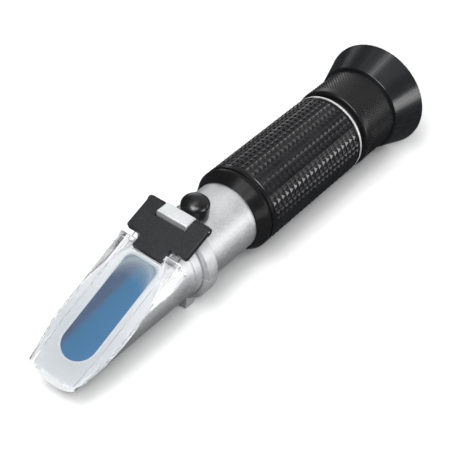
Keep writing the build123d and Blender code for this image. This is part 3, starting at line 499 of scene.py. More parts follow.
@dataclass(frozen=True)
class PrismGlass(Finish):
    """Blue prism glass: a band along one side is painted greyer, as painted shade where the prism's far side shows."""

    deep: Colour = (0.083, 0.223, 0.41)
    deep_span: Point = (0.1, 0.9)
    # Painted shade: the grey of the band along the window's far side.
    band: Colour = (0.108, 0.155, 0.245)
    shade_band_slant: float = 0.42
    shade_band_wave: float = 0.05
    shade_band_span: Point = (0.80, 1.02)
    wave_scale: float = 90.0
    rear: Colour = (0.33, 0.38, 0.43)
    rear_start: float = 0.80
    rear_strength: float = 0.8
    smear: float = 0.05
    frost: Colour = (0.50, 0.56, 0.60)
    arc_scale: float = 1500.0
    arc_span: Point = (0.35, 0.62)
    arc_strength: Point = (0.1, 0.75)
    arc_reach: Point = (0.55, 1.05)
    arc_along: Point = (-0.4, 0.2)

    def paint(self, g: Graph, inputs: Sockets) -> None:
        """Blue over most of the window, a grey band of painted shade along its far side, pale arcs round its rear end.

        Args:
            g: the material's graph.
            inputs: its shader's inputs.
        """
        low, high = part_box("main_prism")
        x, y, _ = g.split(g.place())
        along, across = g.share(x, low.x, high.x), g.share(y, low.y, high.y)
        wave = g.noise(g.place(), self.wave_scale, 2.0)
        slant, sway = g.product(along, self.shade_band_slant), g.product(wave, self.shade_band_wave)
        blue = g.mix(g.share(along, *self.deep_span), self.deep, self.colour)
        # Painted shade along the window's far side.
        body = g.mix(g.share(g.total(across, slant, sway), *self.shade_band_span), blue, self.band)
        body = g.mix(g.mapped(along, self.rear_start, 1.0, 0.0, self.rear_strength), body, self.rear)
        g.feed(inputs["Base Color"], g.mix(self.arcs(g, x), body, self.frost))
        g.feed(inputs["Roughness"], g.spread(wave, self.roughness, self.roughness + self.smear))

    def arcs(self, g: Graph, x: Socket) -> Socket:
        """Pale arcs that follow the window's rounded rear end.

        Args:
            g: the material's graph.
            x: the place along the barrel.

        Returns:
            The arcs' share, 0 to 1.
        """
        low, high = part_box("main_prism")
        reach = (high.y - low.y) / 2
        start = high.x - reach
        away = g.vector("LENGTH", g.place(centre=(start, 0.0, high.z - reach * math.tan(SLOPE))))
        lines = g.noise(g.joined(away), self.arc_scale, 2.0)
        outer = g.share(away, *(part * reach for part in self.arc_reach))
        rear = g.share(x, *(start + part * reach for part in self.arc_along))
        strength = g.mapped(lines, *self.arc_span, *self.arc_strength)
        return g.product(outer, rear, strength)


@dataclass(frozen=True)
class LensGlass(Finish):
    """Clear lens glass with a faint coating tint towards its rim."""

    transmission: float = 1.0
    ior: float = 1.52
    dust: float = 0.06
    dust_scale: float = 900.0
    dust_span: Point = (0.55, 0.8)
    tint: Colour = (0.80, 0.90, 0.92)
    tint_radius: Point = (4.0, 9.0)

    def paint(self, g: Graph, inputs: Sockets) -> None:
        """Dust in the roughness, the coating's tint by radius.

        Args:
            g: the material's graph.
            inputs: its shader's inputs.
        """
        dust = g.noise(g.place(), self.dust_scale, 4.0, 0.6)
        g.feed(inputs["Roughness"], g.mapped(dust, *self.dust_span, self.roughness, self.roughness + self.dust))
        tint = g.share(g.barrel_radius(), *(radius * MM for radius in self.tint_radius))
        g.feed(inputs["Base Color"], g.mix(tint, self.colour, self.tint))


FINE_BLASTED, BLASTED, COARSE_BLASTED = (
    {"grain": Grain.BLASTED, "grain_depth": depth} for depth in (0.002, 0.003, 0.004)
)
ALUMINIUM = Metal(
    "satin_aluminium_turned", "satin_aluminium", (0.94, 0.95, 0.96), 0.49, grain_depth=0.0012, patch=0.025
)
# Cast aluminium, its joints and grooves darkened with painted shade.
ALUMINIUM_CAST = Metal(
    "satin_aluminium_blasted", "satin_aluminium", (0.88, 0.89, 0.90), 0.50, metallic=0.86, painted_joint_shade=0.75, **BLASTED
)
# Painted light: a paler copy of the milled finish for the tip's flat end face.
ALUMINIUM_LIT_TIP = Metal(
    "satin_aluminium_lit_tip", "satin_aluminium", (0.80, 0.83, 0.82), 0.70, metallic=0.15, **COARSE_BLASTED
)
# Painted light: a paler copy of the cast finish for the hinge block's top face.
ALUMINIUM_LIT_TOP = Metal(
    "satin_aluminium_lit_top", "satin_aluminium", (0.69, 0.71, 0.715), 0.60, metallic=0.3, **COARSE_BLASTED
)
ALUMINIUM_MILLED = MilledSlope(
    "satin_aluminium_milled", "satin_aluminium", (0.665, 0.69, 0.705), 0.70, metallic=0.15, **COARSE_BLASTED
)
BRIGHT_RING = Metal("bright_ring_turned", "bright_ring", (0.80, 0.80, 0.80), 0.40, metallic=0.6, grain_depth=0.0008)
STEEL = Metal("steel_turned", "steel", (0.62, 0.62, 0.63), 0.25, **FINE_BLASTED)
BRASS = Metal("brass_turned", "brass", (0.78, 0.58, 0.28), 0.28, **FINE_BLASTED)
BIMETAL = Metal("bimetal_brushed", "bimetal", (0.66, 0.60, 0.52), 0.35, grain=Grain.BRUSHED, grain_depth=0.003)
BLACK_METAL = Metal("black_anodised", "black_metal", (0.022, 0.022, 0.024), 0.5, metallic=0.3, **BLASTED)
FLAP_PLASTIC = Moulded(
    "flap_plastic",
    "black_plastic",
    (0.0098, 0.0101, 0.0116),
    0.44,
    specular=0.34,
    grain_size=0.45,
    grain_depth=0.03,
    fleck=0.9,
)
RING_PLASTIC = Moulded(
    "focus_plastic", "black_plastic", (0.0045, 0.0045, 0.005), 0.33, specular=0.4, grain_size=0.4, grain_depth=0.004
)
GRIP_RUBBER = Moulded(
    "grip_rubber_moulded", "grip_rubber", (0.006, 0.006, 0.0068), 0.21, grain_size=0.35, grain_depth=0.0008
)
BALL_RUBBER = Moulded(
    "ball_rubber", "black_rubber", (0.006, 0.006, 0.0065), 0.27, grain_size=0.5, grain_depth=0.002, lift=1.2
)
SEAL_RUBBER = Moulded("seal_rubber", "black_rubber", (0.016, 0.016, 0.017), 0.5, grain_size=0.3)
SEALANT = Moulded("sealant_smoothed", "grey_sealant", (0.66, 0.70, 0.73), 0.45, grain_size=0.35, lift=1.1)
GLOSS_BLACK = TurnedGloss(
    "gloss_black_turned", "gloss_black_plastic", (0.006, 0.006, 0.0064), 0.30, specular=0.15, streak=0.1
)
EYECUP_BLACK = TurnedGloss(
    "eyecup_turned", "gloss_black_plastic", (0.0065, 0.0070, 0.0078), 0.29, specular=0.65, stretch=0.65
)
CLEAR = ClearPlastic("daylight_acrylic", "clear_plastic", (0.97, 0.975, 0.985), 0.02)
CLEAR_EDGE = ClearPlastic(
    "daylight_acrylic_edge", "clear_plastic", (0.99, 0.99, 0.995), 0.24, ior=1.14, haze=0.12, flow_depth=0.0005
)
PRISM = PrismGlass("blue_prism", "blue_prism_glass", (0.086, 0.228, 0.41), 0.16, coat=0.3)
LENS = LensGlass("lens_glass_clear", "lens_glass", (0.96, 0.98, 0.97), 0.01)


# ---- meshes


def settle(piece: bpy.types.Object, finish: Finish, body: Body, node: str) -> bpy.types.Object:
    """Give a finished piece its finish and its body, and hide the CAD node that it stands for.

    Args:
        piece: the piece, in place.
        finish: its finish.
        body: the body that it rides on.
        node: the CAD node that it stands for.

    Returns:
        The piece.
    """
    piece.data.materials.clear()
    piece.data.materials.append(finish.material())
    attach(piece, body.value)
    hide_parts(node)
    LOG.info("%s: %d faces on %s", piece.name, len(piece.data.polygons), body.value)
    return piece


def linked(name: str, data: bpy.types.ID) -> bpy.types.Object:
    """A new object in the scene.

    Args:
        name: the object's name.
        data: its mesh, light or camera.

    Returns:
        The object.
    """
    made = bpy.data.objects.new(name, data)
    bpy.context.scene.collection.objects.link(made)
    return made


def smooth(mesh: bpy.types.Mesh, angle: float = SMOOTH_ANGLE) -> None:
    """Shade a mesh smooth, apart from the edges sharper than an angle in degrees."""
    mesh.polygons.foreach_set("use_smooth", [True] * len(mesh.polygons))
    mesh.set_sharp_from_angle(angle=math.radians(angle))


def closed(name: str, bm: bmesh.types.BMesh) -> bpy.types.Object:
    """A piece from a closed mesh, its faces outwards and shaded smooth.

    Args:
        name: the piece's name.
        bm: the mesh, freed afterwards.

    Returns:
        The piece.
    """
    bmesh.ops.recalc_face_normals(bm, faces=bm.faces)
    mesh = bpy.data.meshes.new(name)
    bm.to_mesh(mesh)
    bm.free()
    smooth(mesh)
    return linked(name, mesh)


def cad_piece(node: str, name: str, finish: Finish, body: Body, soften: float = 0.0) -> bpy.types.Object:
    """A merged copy of a CAD node, with smooth curved faces and softened edges, settled in its place.

    Args:
        node: the CAD node.
        name: the copy's name.
        finish: its finish.
        body: the body that it rides on.
        soften: width in millimetres of the rounding on its sharp edges, or 0.

    Returns:
        The copy.
    """
    bm = bmesh.new()
    bm.from_mesh(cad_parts[node].data)
    bmesh.ops.remove_doubles(bm, verts=bm.verts, dist=MERGE_DISTANCE)
    bmesh.ops.dissolve_limit(bm, angle_limit=FLAT_ANGLE, verts=bm.verts, edges=bm.edges)
    if soften > 0:
        sharp = [edge for edge in bm.edges if len(edge.link_faces) == 2 and edge.calc_face_angle(0.0) > SHARP_ANGLE]
        bmesh.ops.bevel(
            bm, geom=sharp, offset=soften * MM, segments=2, profile=0.5, affect="EDGES", clamp_overlap=True
        )
    piece = closed(name, bm)
    even = piece.modifiers.new("even_flats", "WEIGHTED_NORMAL")
    even.keep_sharp = True
    even.weight = FLAT_WEIGHT
    return settle(piece, finish, body, node)


def second_finish(piece: bpy.types.Object, finish: Finish, chosen: Callable[[Face], bool]) -> None:
    """Give some of a settled piece's faces another finish.

    Args:
        piece: the piece.
        finish: the other finish.
        chosen: says of a face whether it gets it.
    """
    piece.data.materials.append(finish.material())
    for face in piece.data.polygons:
        if chosen(face):
            face.material_index = len(piece.data.materials) - 1


def looks_along(face: Face, direction: Vector, limit: float) -> bool:
    """Whether a face looks along a direction or against it, within the angle of a cosine."""
    return abs(face.normal.dot(direction)) > limit


@dataclass(frozen=True)
class Corner:
    """A corner of a turned outline: place along the spindle, radius and rounding, in millimetres."""

    x: float
    r: float
    round: float = 0.0


def rounded(corners: list[Corner], steps: int = 5, longest: float = 0.45, guard: float = 0.1) -> list[Point]:
    """The outline's points, its corners rounded, with a point just outside each rounding to keep flats flat.

    Args:
        corners: the closed outline's corners.
        steps: how many edges each rounding has.
        longest: the share of an edge that a rounding may take.
        guard: how far outside a rounding that point lies, as a share of the rounding's reach.

    Returns:
        The points in millimetres.
    """
    points: list[Point] = []
    for number, corner in enumerate(corners):
        trio = (corner, corners[number - 1], corners[(number + 1) % len(corners)])
        at, last, following = (Vector((one.x, one.r)) for one in trio)
        before, after = last - at, following - at
        if corner.round <= 0 or corner.r <= 0:
            points.append(tuple(at))
            continue
        half = before.angle(after) / 2
        reach = min(corner.round / math.tan(half), before.length * longest, after.length * longest)
        start, end = at + before.normalized() * reach, at + after.normalized() * reach
        points.append(tuple(start + before.normalized() * reach * guard))
        for step in range(steps + 1):
            t = step / steps
            points.append(tuple(start * (1 - t) ** 2 + at * 2 * t * (1 - t) + end * t**2))
        points.append(tuple(end + after.normalized() * reach * guard))
    return points


def turned(name: str, outline: list[Point], spindle: Spindle, segments: int = 180, at: float = 0.0) -> bpy.types.Object:
    """A piece turned from a closed outline.

    Args:
        name: the piece's name.
        outline: points of (place along the spindle, radius) in millimetres.
        spindle: the axis that it is turned about.
        segments: how many faces go round.
        at: the upright spindle's place along the barrel, in millimetres.

    Returns:
        The piece.
    """
    bm = bmesh.new()
    rings = []
    for along, radius in outline:
        angles = [TURN * k / segments for k in range(segments)] if radius > 0 else [0.0]
        rings.append([bm.verts.new(spindle.point(at, along, radius, angle)) for angle in angles])
    for number, ring in enumerate(rings):
        other = rings[(number + 1) % len(rings)]
        if len(ring) == 1 and len(other) == 1:
            continue
        for k in range(segments):
            n = (k + 1) % segments
            corners = [ring[k % len(ring)], ring[n % len(ring)], other[n % len(other)], other[k % len(other)]]
            bm.faces.new(list(dict.fromkeys(corners)))
    return closed(name, bm)


# ---- knurls by Geometry Nodes


@dataclass(frozen=True)
class Pattern:
    """A knurl that Geometry Nodes raise on a turned blank, between two places along the barrel, in millimetres."""

    start: float
    end: float
    above: float
    height: float
    rows: int
    columns: int
    knurl: Knurl
    groove: float = 0.1
    tip: float = 0.12

    def sizes(self) -> dict[str, float]:
        """The tree's sizes by input name, in metres and shares."""
        return {
            "Start": self.start * MM,
            "End": self.end * MM,
            "Above": self.above * MM,
            "Height": self.height * MM,
            "Groove Share": self.groove,
            "Tip Share": self.tip,
            "Axis Height": AXIS_HEIGHT,
            "Rows": float(self.rows),
            "Columns": float(self.columns),
        }

    def tree(self) -> bpy.types.NodeTree:
        """The node tree that raises the knurl.

        Returns:
            The tree.
        """
        tree = bpy.data.node_groups.new("knurl_" + self.knurl.value, "GeometryNodeTree")
        tree.is_modifier = True
        g = Graph(tree)
        tree.interface.new_socket("Geometry", in_out="OUTPUT", socket_type="NodeSocketGeometry")
        tree.interface.new_socket("Geometry", in_out="INPUT", socket_type="NodeSocketGeometry")
        for name in self.sizes():
            tree.interface.new_socket(name, in_out="INPUT", socket_type="NodeSocketFloat")
        tree.interface.new_socket("Finish", in_out="INPUT", socket_type="NodeSocketMaterial")
        size = {socket.name: socket for socket in g.node("NodeGroupInput").outputs}
        x, y, z = g.split(g.node("GeometryNodeInputPosition").outputs[0])
        z = g.math("SUBTRACT", z, size["Axis Height"])
        radius = g.vector("LENGTH", g.joined(0.0, y, z))
        outer, after = g.math("GREATER_THAN", radius, size["Above"]), g.math("GREATER_THAN", x, size["Start"])
        chosen = g.product(outer, after, g.math("LESS_THAN", x, size["End"]))
        if self.knurl is Knurl.PYRAMIDS:
            raised = self.raise_studs(g, size, chosen)
        else:
            raised = self.raise_diamonds(g, size, chosen, (x, y, z, radius))
        real = g.fed("GeometryNodeRealizeInstances", {0: raised}).outputs[0]
        dressed = g.fed("GeometryNodeSetMaterial", {"Geometry": real, "Material": size["Finish"]}).outputs[0]
        g.fed("NodeGroupOutput", {0: dressed})
        return tree

    def raise_studs(self, g: Graph, size: dict[str, Socket], chosen: Socket) -> Socket:
        """Raise a four-sided stud on each chosen cell, with a narrow groove round it.

        Args:
            g: the tree's graph.
            size: the tree's inputs by name.
            chosen: 1 on the cells that get a stud.

        Returns:
            The geometry.
        """
        geometry = size["Geometry"]
        inside = g.math("SUBTRACT", 1.0, size["Groove Share"])
        for height, scale in ((0.0, inside), (size["Height"], size["Tip Share"])):
            inputs = {"Mesh": geometry, "Selection": chosen, "Offset Scale": height, "Individual": True}
            raised = g.fed("GeometryNodeExtrudeMesh", inputs, mode="FACES").outputs
            chosen = raised["Top"]
            inputs = {"Geometry": raised["Mesh"], "Selection": chosen, "Scale": scale}
            geometry = g.fed("GeometryNodeScaleElements", inputs, domain="FACE").outputs[0]
        return geometry

    def raise_diamonds(self, g: Graph, size: dict[str, Socket], chosen: Socket, place: tuple) -> Socket:
        """Lift the chosen points into rows of diamonds.

        Args:
            g: the tree's graph.
            size: the tree's inputs by name.
            chosen: 1 on the points that may be lifted.
            place: the point's place along the barrel, across, up from the axis, and its radius.

        Returns:
            The geometry.
        """
        x, y, z, radius = place
        round_share = g.math("DIVIDE", g.math("ARCTAN2", y, z), TURN)
        length = g.math("SUBTRACT", size["End"], size["Start"])
        along = g.math("DIVIDE", g.math("SUBTRACT", x, size["Start"]), length)
        row, column = g.product(round_share, size["Rows"]), g.product(along, size["Columns"])

        def ridge(value: Socket) -> Socket:
            """0 on each groove and 1 midway between two."""
            middle = g.math("SUBTRACT", g.math("FLOORED_MODULO", value, 1.0), 0.5)
            return g.math("SUBTRACT", 1.0, g.product(g.math("ABSOLUTE", middle), 2.0))

        peak = g.math("MINIMUM", ridge(g.math("ADD", column, row)), ridge(g.math("SUBTRACT", column, row)))
        blunt = g.math("MINIMUM", peak, g.math("SUBTRACT", 1.0, size["Tip Share"]))
        share = g.math("DIVIDE", g.product(blunt, chosen, size["Height"]), radius)
        offset = g.joined(0.0, g.product(y, share), g.product(z, share))
        return g.fed("GeometryNodeSetPosition", {"Geometry": size["Geometry"], "Offset": offset}).outputs[0]

    def press(self, blank: bpy.types.Object, finish: Finish) -> bpy.types.Object:
        """Raise the knurl on a blank and keep the result as the blank's plain mesh.

        Args:
            blank: the turned blank.
            finish: the finish that the tree sets.

        Returns:
            The blank with its new mesh.
        """
        modifier = blank.modifiers.new("knurl", "NODES")
        modifier.node_group = self.tree()
        values = self.sizes() | {"Finish": finish.material()}
        for socket in modifier.node_group.interface.items_tree:
            if socket.name in values:
                modifier[socket.identifier] = values[socket.name]
        ready = blank.evaluated_get(bpy.context.evaluated_depsgraph_get())
        mesh = bpy.data.meshes.new_from_object(ready)
        blank.modifiers.clear()
        blank.data = mesh
        smooth(mesh, KNURL_SMOOTH_ANGLE)
        return blank


# ---- sub-assemblies: sizes in millimetres, places along the barrel, heights from its axis


@dataclass
class Head:
    """The sloping head with its blue prism and the sealant round it."""

    edge: float = 0.18
    prism_edge: float = 0.12
    slope_limit: float = 0.97
    tip_depth: float = 0.1

    def build(self) -> None:
        """Build and dress the head, the prism and its seal."""
        head = cad_piece("head_body", "head", ALUMINIUM, Body.BARREL, self.edge)
        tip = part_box("head_body")[0].x + self.tip_depth * MM
        second_finish(head, ALUMINIUM_MILLED, lambda face: looks_along(face, SLOPE_NORMAL, self.slope_limit))
        # Painted light: the tip's end face gets the paler copy.
        second_finish(head, ALUMINIUM_LIT_TIP, lambda face: face.center.x < tip)
        cad_piece("main_prism", "prism", PRISM, Body.BARREL, self.prism_edge)
        cad_piece("prism_seal", "prism_frame", SEALANT, Body.BARREL)


@dataclass
class Cover:
    """The hinged cover: clear plate, black flap and the pin that they turn on."""

    flap_edge: float = 0.28
    plate_edge: float = 0.10
    plate_limit: float = 0.9
    pin_dome: float = 0.25

    def build(self) -> None:
        """Build and dress the cover's pieces, the plate's edges hazier than its faces."""
        cad_piece("hinge_flap", "flap", FLAP_PLASTIC, Body.COVER, self.flap_edge)
        plate = cad_piece("daylight_plate", "plate", CLEAR, Body.COVER, self.plate_edge)
        second_finish(plate, CLEAR_EDGE, lambda face: not looks_along(face, SLOPE_NORMAL, self.plate_limit))
        cad_piece("hinge_pin", "pin", STEEL, Body.COVER, self.pin_dome)


@dataclass
class Collar:
    """The two halves of the collar: the upper one with the hinge block, the lower one with the foot."""

    edge: float = 0.10
    top_limit: float = 0.99

    def build(self) -> None:
        """Build and dress both halves, the block's top painted paler than the rest as painted light."""
        upper = cad_piece("hinge_collar", "collar_block", ALUMINIUM_CAST, Body.BARREL, self.edge)
        # Painted light: the block's level faces get the paler copy.
        second_finish(upper, ALUMINIUM_LIT_TOP, lambda face: looks_along(face, UP, self.top_limit))
        cad_piece("foot_collar", "collar_foot", ALUMINIUM_CAST, Body.BARREL, self.edge)


@dataclass
class BallCap:
    """The rubber ball cap over the calibration screw: a dome on a skirt that follows the tube, hollow below."""

    at: float = -21.25
    radius: float = 4.56
    foot: float = 4.4
    shoulder: float = 16.35
    top: float = 18.95
    bottom: float = 12.25
    flange: float = 2.83
    flange_top: float = 13.13
    neck: float = 2.2
    ceiling: float = 14.99
    lip: float = 0.175
    dome_steps: int = 32
    segments: int = 96

    def build(self) -> None:
        """Turn the cap about the screw and fit its skirt to the tube."""
        height, low = self.top - self.shoulder, self.bottom + self.lip
        angles = [math.pi / 2 * step / self.dome_steps for step in range(self.dome_steps + 1)]
        dome = [(self.shoulder + height * math.cos(t), self.radius * math.sin(t)) for t in angles]
        skirt = [(low, self.foot), (self.bottom, self.foot - self.lip), (self.bottom, self.flange + self.lip)]
        hollow = [(low, self.flange), (self.flange_top, self.flange), (self.ceiling, self.neck), (self.ceiling, 0.0)]
        cap = turned("ball_cap", [*dome, *skirt, *hollow], Spindle.SCREW, self.segments, self.at)
        self.follow_tube(cap.data)
        settle(cap, BALL_RUBBER, Body.BOOT, "screw_boot")

    def follow_tube(self, mesh: bpy.types.Mesh) -> None:
        """Lower the skirt's edge at both sides, where the round tube falls away.

        Args:
            mesh: the cap's mesh.
        """
        for vertex in mesh.vertices:
            height, across = (vertex.co.z - AXIS_HEIGHT) / MM, vertex.co.y / MM
            share = min(1.0, max(0.0, (self.flange_top - height) / (self.flange_top - self.bottom)))
            vertex.co.z -= share * (self.bottom - math.sqrt(self.bottom**2 - across**2)) * MM


@dataclass
class Barrel:
    """The bare tube with the black ring, the knurled grip and the bright ring on it."""

    bore: float = 12.03
    front_ring: float = -4.05
    grip: float = 2.95
    rear_ring: float = 52.45
    tube_end: float = 53.85
    ring_radius: float = 14.5
    grip_radius: float = 14.6
    rear_radius: float = 14.4
    rear_land: float = 0.75
    rear_fall: float = 1.0
    cone: float = 3.9
    groove: float = 5.0
    groove_width: float = 0.8
    groove_depth: float = 0.7
    stud_height: float = 0.37
    stud_rows: int = 45
    stud_columns: int = 21
    rim_width: float = 0.8
    rim_drop: float = 0.15
    rim_edge: float = 0.3
    margin: float = 0.01
    cone_foot: float = 0.5
    cone_round: float = 0.5
    land_round: float = 0.22
    fine_round: float = 0.15
    crisp_round: float = 0.1

    def build(self) -> None:
        """Build and dress the tube and what is on it."""
        cad_piece("main_tube", "bare_tube", ALUMINIUM, Body.BARREL)
        self.build_front_ring()
        self.build_grip()
        rear = [
            Corner(self.rear_ring, self.bore),
            Corner(self.rear_ring, self.rear_radius, self.crisp_round),
            Corner(self.rear_ring + self.rear_land, self.rear_radius, self.fine_round),
            Corner(self.tube_end, self.rear_radius - self.rear_fall, self.fine_round),
            Corner(self.tube_end, self.bore),
        ]
        ring = turned("rear_ring", rounded(rear), Spindle.BARREL)
        settle(ring, BRIGHT_RING, Body.BARREL, "grip_rear_ring")

    def build_front_ring(self) -> None:
        """The gloss black ring: a cone, then a groove between two lands."""
        start, radius = self.front_ring, self.ring_radius
        groove_start, floor = start + self.groove, radius - self.groove_depth
        groove_end = groove_start + self.groove_width
        outline = [
            Corner(start, self.bore),
            Corner(start, self.bore + self.cone_foot, self.fine_round),
            Corner(start + self.cone, radius, self.cone_round),
            Corner(groove_start, radius, self.land_round),
            Corner(groove_start, floor, self.fine_round),
            Corner(groove_end, floor, self.fine_round),
            Corner(groove_end, radius, self.land_round),
            Corner(self.grip, radius, self.land_round),
            Corner(self.grip, self.bore),
        ]
        ring = turned("front_ring", rounded(outline), Spindle.BARREL)
        settle(ring, GLOSS_BLACK, Body.BARREL, "grip_front_ring")

    def build_grip(self) -> None:
        """The rubber sleeve, pressed with four-sided studs between two plain rims."""
        start, end = self.grip + self.rim_width, self.rear_ring - self.rim_width
        top, root = self.grip_radius - self.rim_drop, self.grip_radius - self.stud_height
        cells = [(start + (end - start) * k / self.stud_columns, root) for k in range(self.stud_columns + 1)]
        edge, shoulder = self.rim_edge, top - self.rim_edge
        front = [(self.grip, self.bore), (self.grip, shoulder), (self.grip + edge, top)]
        rear = [(self.rear_ring - edge, top), (self.rear_ring, shoulder), (self.rear_ring, self.bore)]
        outline = [*front, (start, top), *cells, (end, top), *rear]
        blank = turned("grip", outline, Spindle.BARREL, self.stud_rows)
        pattern = Pattern(
            start=start + self.margin,
            end=end - self.margin,
            above=(self.bore + root) / 2,
            height=self.stud_height,
            rows=self.stud_rows,
            columns=self.stud_columns,
            knurl=Knurl.PYRAMIDS,
        )
        settle(pattern.press(blank, GRIP_RUBBER), GRIP_RUBBER, Body.BARREL, "rubber_grip")


@dataclass
class Eyepiece:
    """The focus ring and the eyecup, which turn together."""

    ring_start: float = 55.85
    ring_end: float = 72.95
    rim: float = 84.75
    bore: float = 12.66
    ring_radius: float = 14.9
    band: float = 2.9
    diamond_height: float = 0.2
    diamond_rows: int = 80
    diamond_columns: int = 11
    points_per_diamond: int = 4
    neck: float = 15.8
    rim_radius: float = 19.5
    wall: float = 0.9
    hub_start: float = 71.88
    aperture: float = 7.4
    floor: float = 74.55
    floor_radius: float = 13.4
    stop_start: float = 69.32
    stop_end: float = 70.32
    stop_depth: float = 1.4
    play: float = 0.05
    fit: float = 0.03
    band_round: float = 0.8
    band_edge: float = 0.12
    crisp_round: float = 0.1
    rim_round: float = 0.35
    floor_round: float = 1.2
    hole_round: float = 0.3
    cup_segments: int = 240

    def build(self) -> None:
        """Build and dress the ring and the cup."""
        self.build_ring()
        self.build_cup()

    def build_ring(self) -> None:
        """The ring: a fine diamond knurl, a plain band in front of it, and the stop inside."""
        knurl_start = self.ring_start + self.band
        root = self.ring_radius - self.diamond_height
        steps = self.diamond_columns * self.points_per_diamond
        length = self.ring_end - knurl_start
        cells = [(knurl_start + length * k / steps, root) for k in range(steps + 1)]
        outline = [(knurl_start, self.bore), *cells, (self.ring_end, self.bore)]
        blank = turned("focus_knurl", outline, Spindle.BARREL, self.diamond_rows * self.points_per_diamond)
        pattern = Pattern(
            start=knurl_start,
            end=self.ring_end,
            above=(self.bore + root) / 2,
            height=self.diamond_height,
            rows=self.diamond_rows,
            columns=self.diamond_columns,
            knurl=Knurl.DIAMONDS,
        )
        settle(pattern.press(blank, RING_PLASTIC), RING_PLASTIC, Body.FOCUS, "focus_ring")
        band_radius, inner = self.ring_radius - self.play, self.bore - self.stop_depth
        band = [
            Corner(self.ring_start, self.bore),
            Corner(self.ring_start, band_radius, self.band_round),
            Corner(knurl_start, band_radius, self.band_edge),
            Corner(knurl_start, self.bore),
        ]
        stop = [
            Corner(self.stop_start, self.bore + self.play),
            Corner(self.stop_start, inner, self.crisp_round),
            Corner(self.stop_end, inner, self.crisp_round),
            Corner(self.stop_end, self.bore + self.play),
        ]
        for name, corners in (("focus_band", band), ("focus_stop", stop)):
            settle(turned(name, rounded(corners), Spindle.BARREL), RING_PLASTIC, Body.FOCUS, "focus_ring")

    def build_cup(self) -> None:
        """The flared cup with its thin rounded rim and the hub that holds it."""
        hub = self.bore - self.fit
        outline = [
            Corner(self.hub_start, self.aperture),
            Corner(self.hub_start, hub, self.crisp_round),
            Corner(self.ring_end, hub),
            Corner(self.ring_end, self.neck, self.rim_round),
            Corner(self.rim, self.rim_radius, self.rim_round),
            Corner(self.rim, self.rim_radius - self.wall, self.rim_round),
            Corner(self.floor, self.floor_radius, self.floor_round),
            Corner(self.floor, self.aperture, self.hole_round),
        ]
        cup = turned("cup", rounded(outline, 6), Spindle.BARREL, self.cup_segments)
        settle(cup, EYECUP_BLACK, Body.FOCUS, "eyecup")


@dataclass
class InnerParts:
    """The pieces inside, which stay the CAD's own and get their finishes."""

    finishes: tuple[tuple[Finish, tuple[str, ...]], ...] = (
        (SEAL_RUBBER, ("head_seal", "seat_seal")),
        (BRASS, ("screw_bush",)),
        (STEEL, ("calibration_screw", "strip_screw")),
        (BIMETAL, ("bimetal_strip",)),
        (LENS, ("objective_lens", "reticle", "eye_lens", "field_lens")),
        (BLACK_METAL, ("lens_carrier", "objective_ring", "strip_block", "light_baffle")),
        (BLACK_METAL, ("reticle_holder", "reticle_ring", "eyepiece_seat")),
        (BLACK_METAL, ("eyepiece_tube", "lens_spacer", "lens_retainer")),
    )

    def dress(self) -> None:
        """Give each CAD node its finish."""
        for finish, nodes in self.finishes:
            for node in nodes:
                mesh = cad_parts[node].data
                mesh.materials.clear()
                mesh.materials.append(finish.material())
                LOG.info("%s: %s", node, finish.name)


# ---- studio


@dataclass
class Softbox:
    """A soft rectangular light: its place in metres, its size and how brightly its face glows."""

    name: str
    place: Place
    width: float
    height: float
    glow: float
    aim: Place = (0.0, 0.0, 0.02)

    def build(self) -> None:
        """Hang the light, turn it to its aim, and set its power from the glow of its face."""
        data = bpy.data.lights.new(self.name, "AREA")
        data.shape = "RECTANGLE"
        data.size, data.size_y = self.width, self.height
        data.energy = math.pi * self.glow * self.width * self.height
        light = linked(self.name, data)
        light.location = self.place
        light.rotation_euler = (Vector(self.aim) - Vector(self.place)).to_track_quat("-Z", "Y").to_euler()


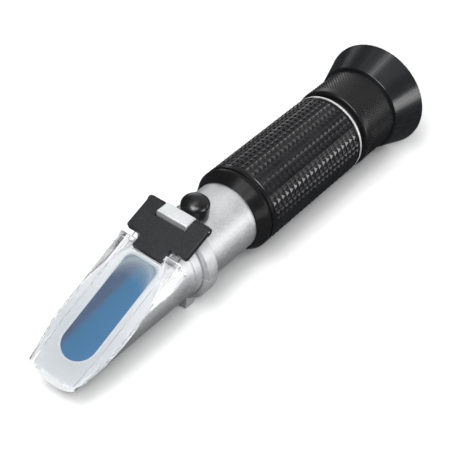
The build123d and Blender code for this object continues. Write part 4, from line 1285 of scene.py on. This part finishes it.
@dataclass
class Studio:
    """The pale floor, the soft lights and the camera at the photo's angle.

    Three lights hang high on the left, a strip overhead and a wide one on the right; three stand low round
    the table, and a small one makes the sparks on the glossy pieces.
    """

    floor_half: float = 3.0
    floor_colour: Colour = (0.93, 0.93, 0.93)
    floor_lift: float = 0.01
    floor_scale: float = 30.0
    floor_roughness: float = 0.9
    floor_specular: float = 0.1
    sky: float = 0.08
    sky_colour: Colour = (0.93, 0.96, 1.0)
    camera_place: Place = (-0.26820, -0.17651, 0.30215)
    camera_right: Place = (0.60714, -0.79121, 0.07334)
    camera_up: Place = (0.50012, 0.45222, 0.73849)
    camera_back: Place = (-0.61746, -0.41168, 0.67026)
    lens: float = 106.18
    sensor: float = 36.0
    clip: Point = (0.01, 20.0)
    lights: tuple[Softbox, ...] = (
        Softbox("key_left", (-0.664, -0.242, 0.727), 0.40, 0.40, 10.8),
        Softbox("key_top", (-0.44, -0.02, 0.91), 0.36, 0.36, 12.6),
        Softbox("key_near", (-0.30, -0.36, 0.90), 0.36, 0.36, 2.2),
        Softbox("strip", (0.03, 0.15, 1.0), 0.60, 0.22, 3.6),
        Softbox("right", (0.75, 0.10, 0.60), 1.30, 1.10, 0.46),
        Softbox("low_near", (0.13, -0.98, 0.19), 0.42, 0.34, 8.8),
        Softbox("low_right", (0.762, -0.639, 0.18), 0.30, 0.30, 2.7),
        Softbox("low_far", (0.72, 0.62, 0.14), 0.46, 0.20, 2.2),
        Softbox("spark", (-0.36, -0.47, 0.81), 0.16, 0.16, 17.0),
    )

    def build(self) -> None:
        """Build floor, lights, sky and camera."""
        self.build_floor()
        self.build_sky()
        for light in self.lights:
            light.build()
        self.build_camera()

    def build_floor(self) -> None:
        """A wide matt floor with a faint unevenness."""
        bm = bmesh.new()
        bmesh.ops.create_grid(bm, x_segments=8, y_segments=8, size=self.floor_half)
        mesh = bpy.data.meshes.new("floor")
        bm.to_mesh(mesh)
        bm.free()
        floor = linked("floor", mesh)
        made = bpy.data.materials.new("pale_paper")
        made.use_nodes = True
        g = Graph(made.node_tree)
        uniform = {"Roughness": self.floor_roughness, "Specular IOR Level": self.floor_specular}
        shader = g.fed("ShaderNodeBsdfPrincipled", uniform)
        g.tree.links.new(shader.outputs[0], g.node("ShaderNodeOutputMaterial").inputs[0])
        patches = g.noise(g.place(), self.floor_scale)
        light = tuple(part + self.floor_lift for part in self.floor_colour)
        g.feed(shader.inputs["Base Color"], g.mix(patches, self.floor_colour, light))
        mesh.materials.append(made)
        floor.visible_glossy = False

    def build_sky(self) -> None:
        """An even pale surrounding."""
        world = bpy.data.worlds.new("studio")
        world.use_nodes = True
        inputs = world.node_tree.nodes["Background"].inputs
        inputs["Color"].default_value = (*self.sky_colour, 1.0)
        inputs["Strength"].default_value = self.sky
        bpy.context.scene.world = world

    def build_camera(self) -> None:
        """The camera, where it was fitted to the photo."""
        data = bpy.data.cameras.new("camera")
        data.lens = self.lens
        data.sensor_width = self.sensor
        data.clip_start, data.clip_end = self.clip
        camera = linked("camera", data)
        columns = Matrix((self.camera_right, self.camera_up, self.camera_back)).transposed()
        camera.matrix_world = Matrix.Translation(self.camera_place) @ columns.to_4x4()
        bpy.context.scene.camera = camera


def main() -> None:
    """Build the refractometer and its studio in order."""
    logging.basicConfig(level=logging.INFO, format="%(name)s %(message)s")
    bpy.context.scene.view_settings.view_transform = "Standard"
    Studio().build()
    Head().build()
    Cover().build()
    Collar().build()
    BallCap().build()
    Barrel().build()
    Eyepiece().build()
    InnerParts().dress()


if __name__ == "__main__":
    main()
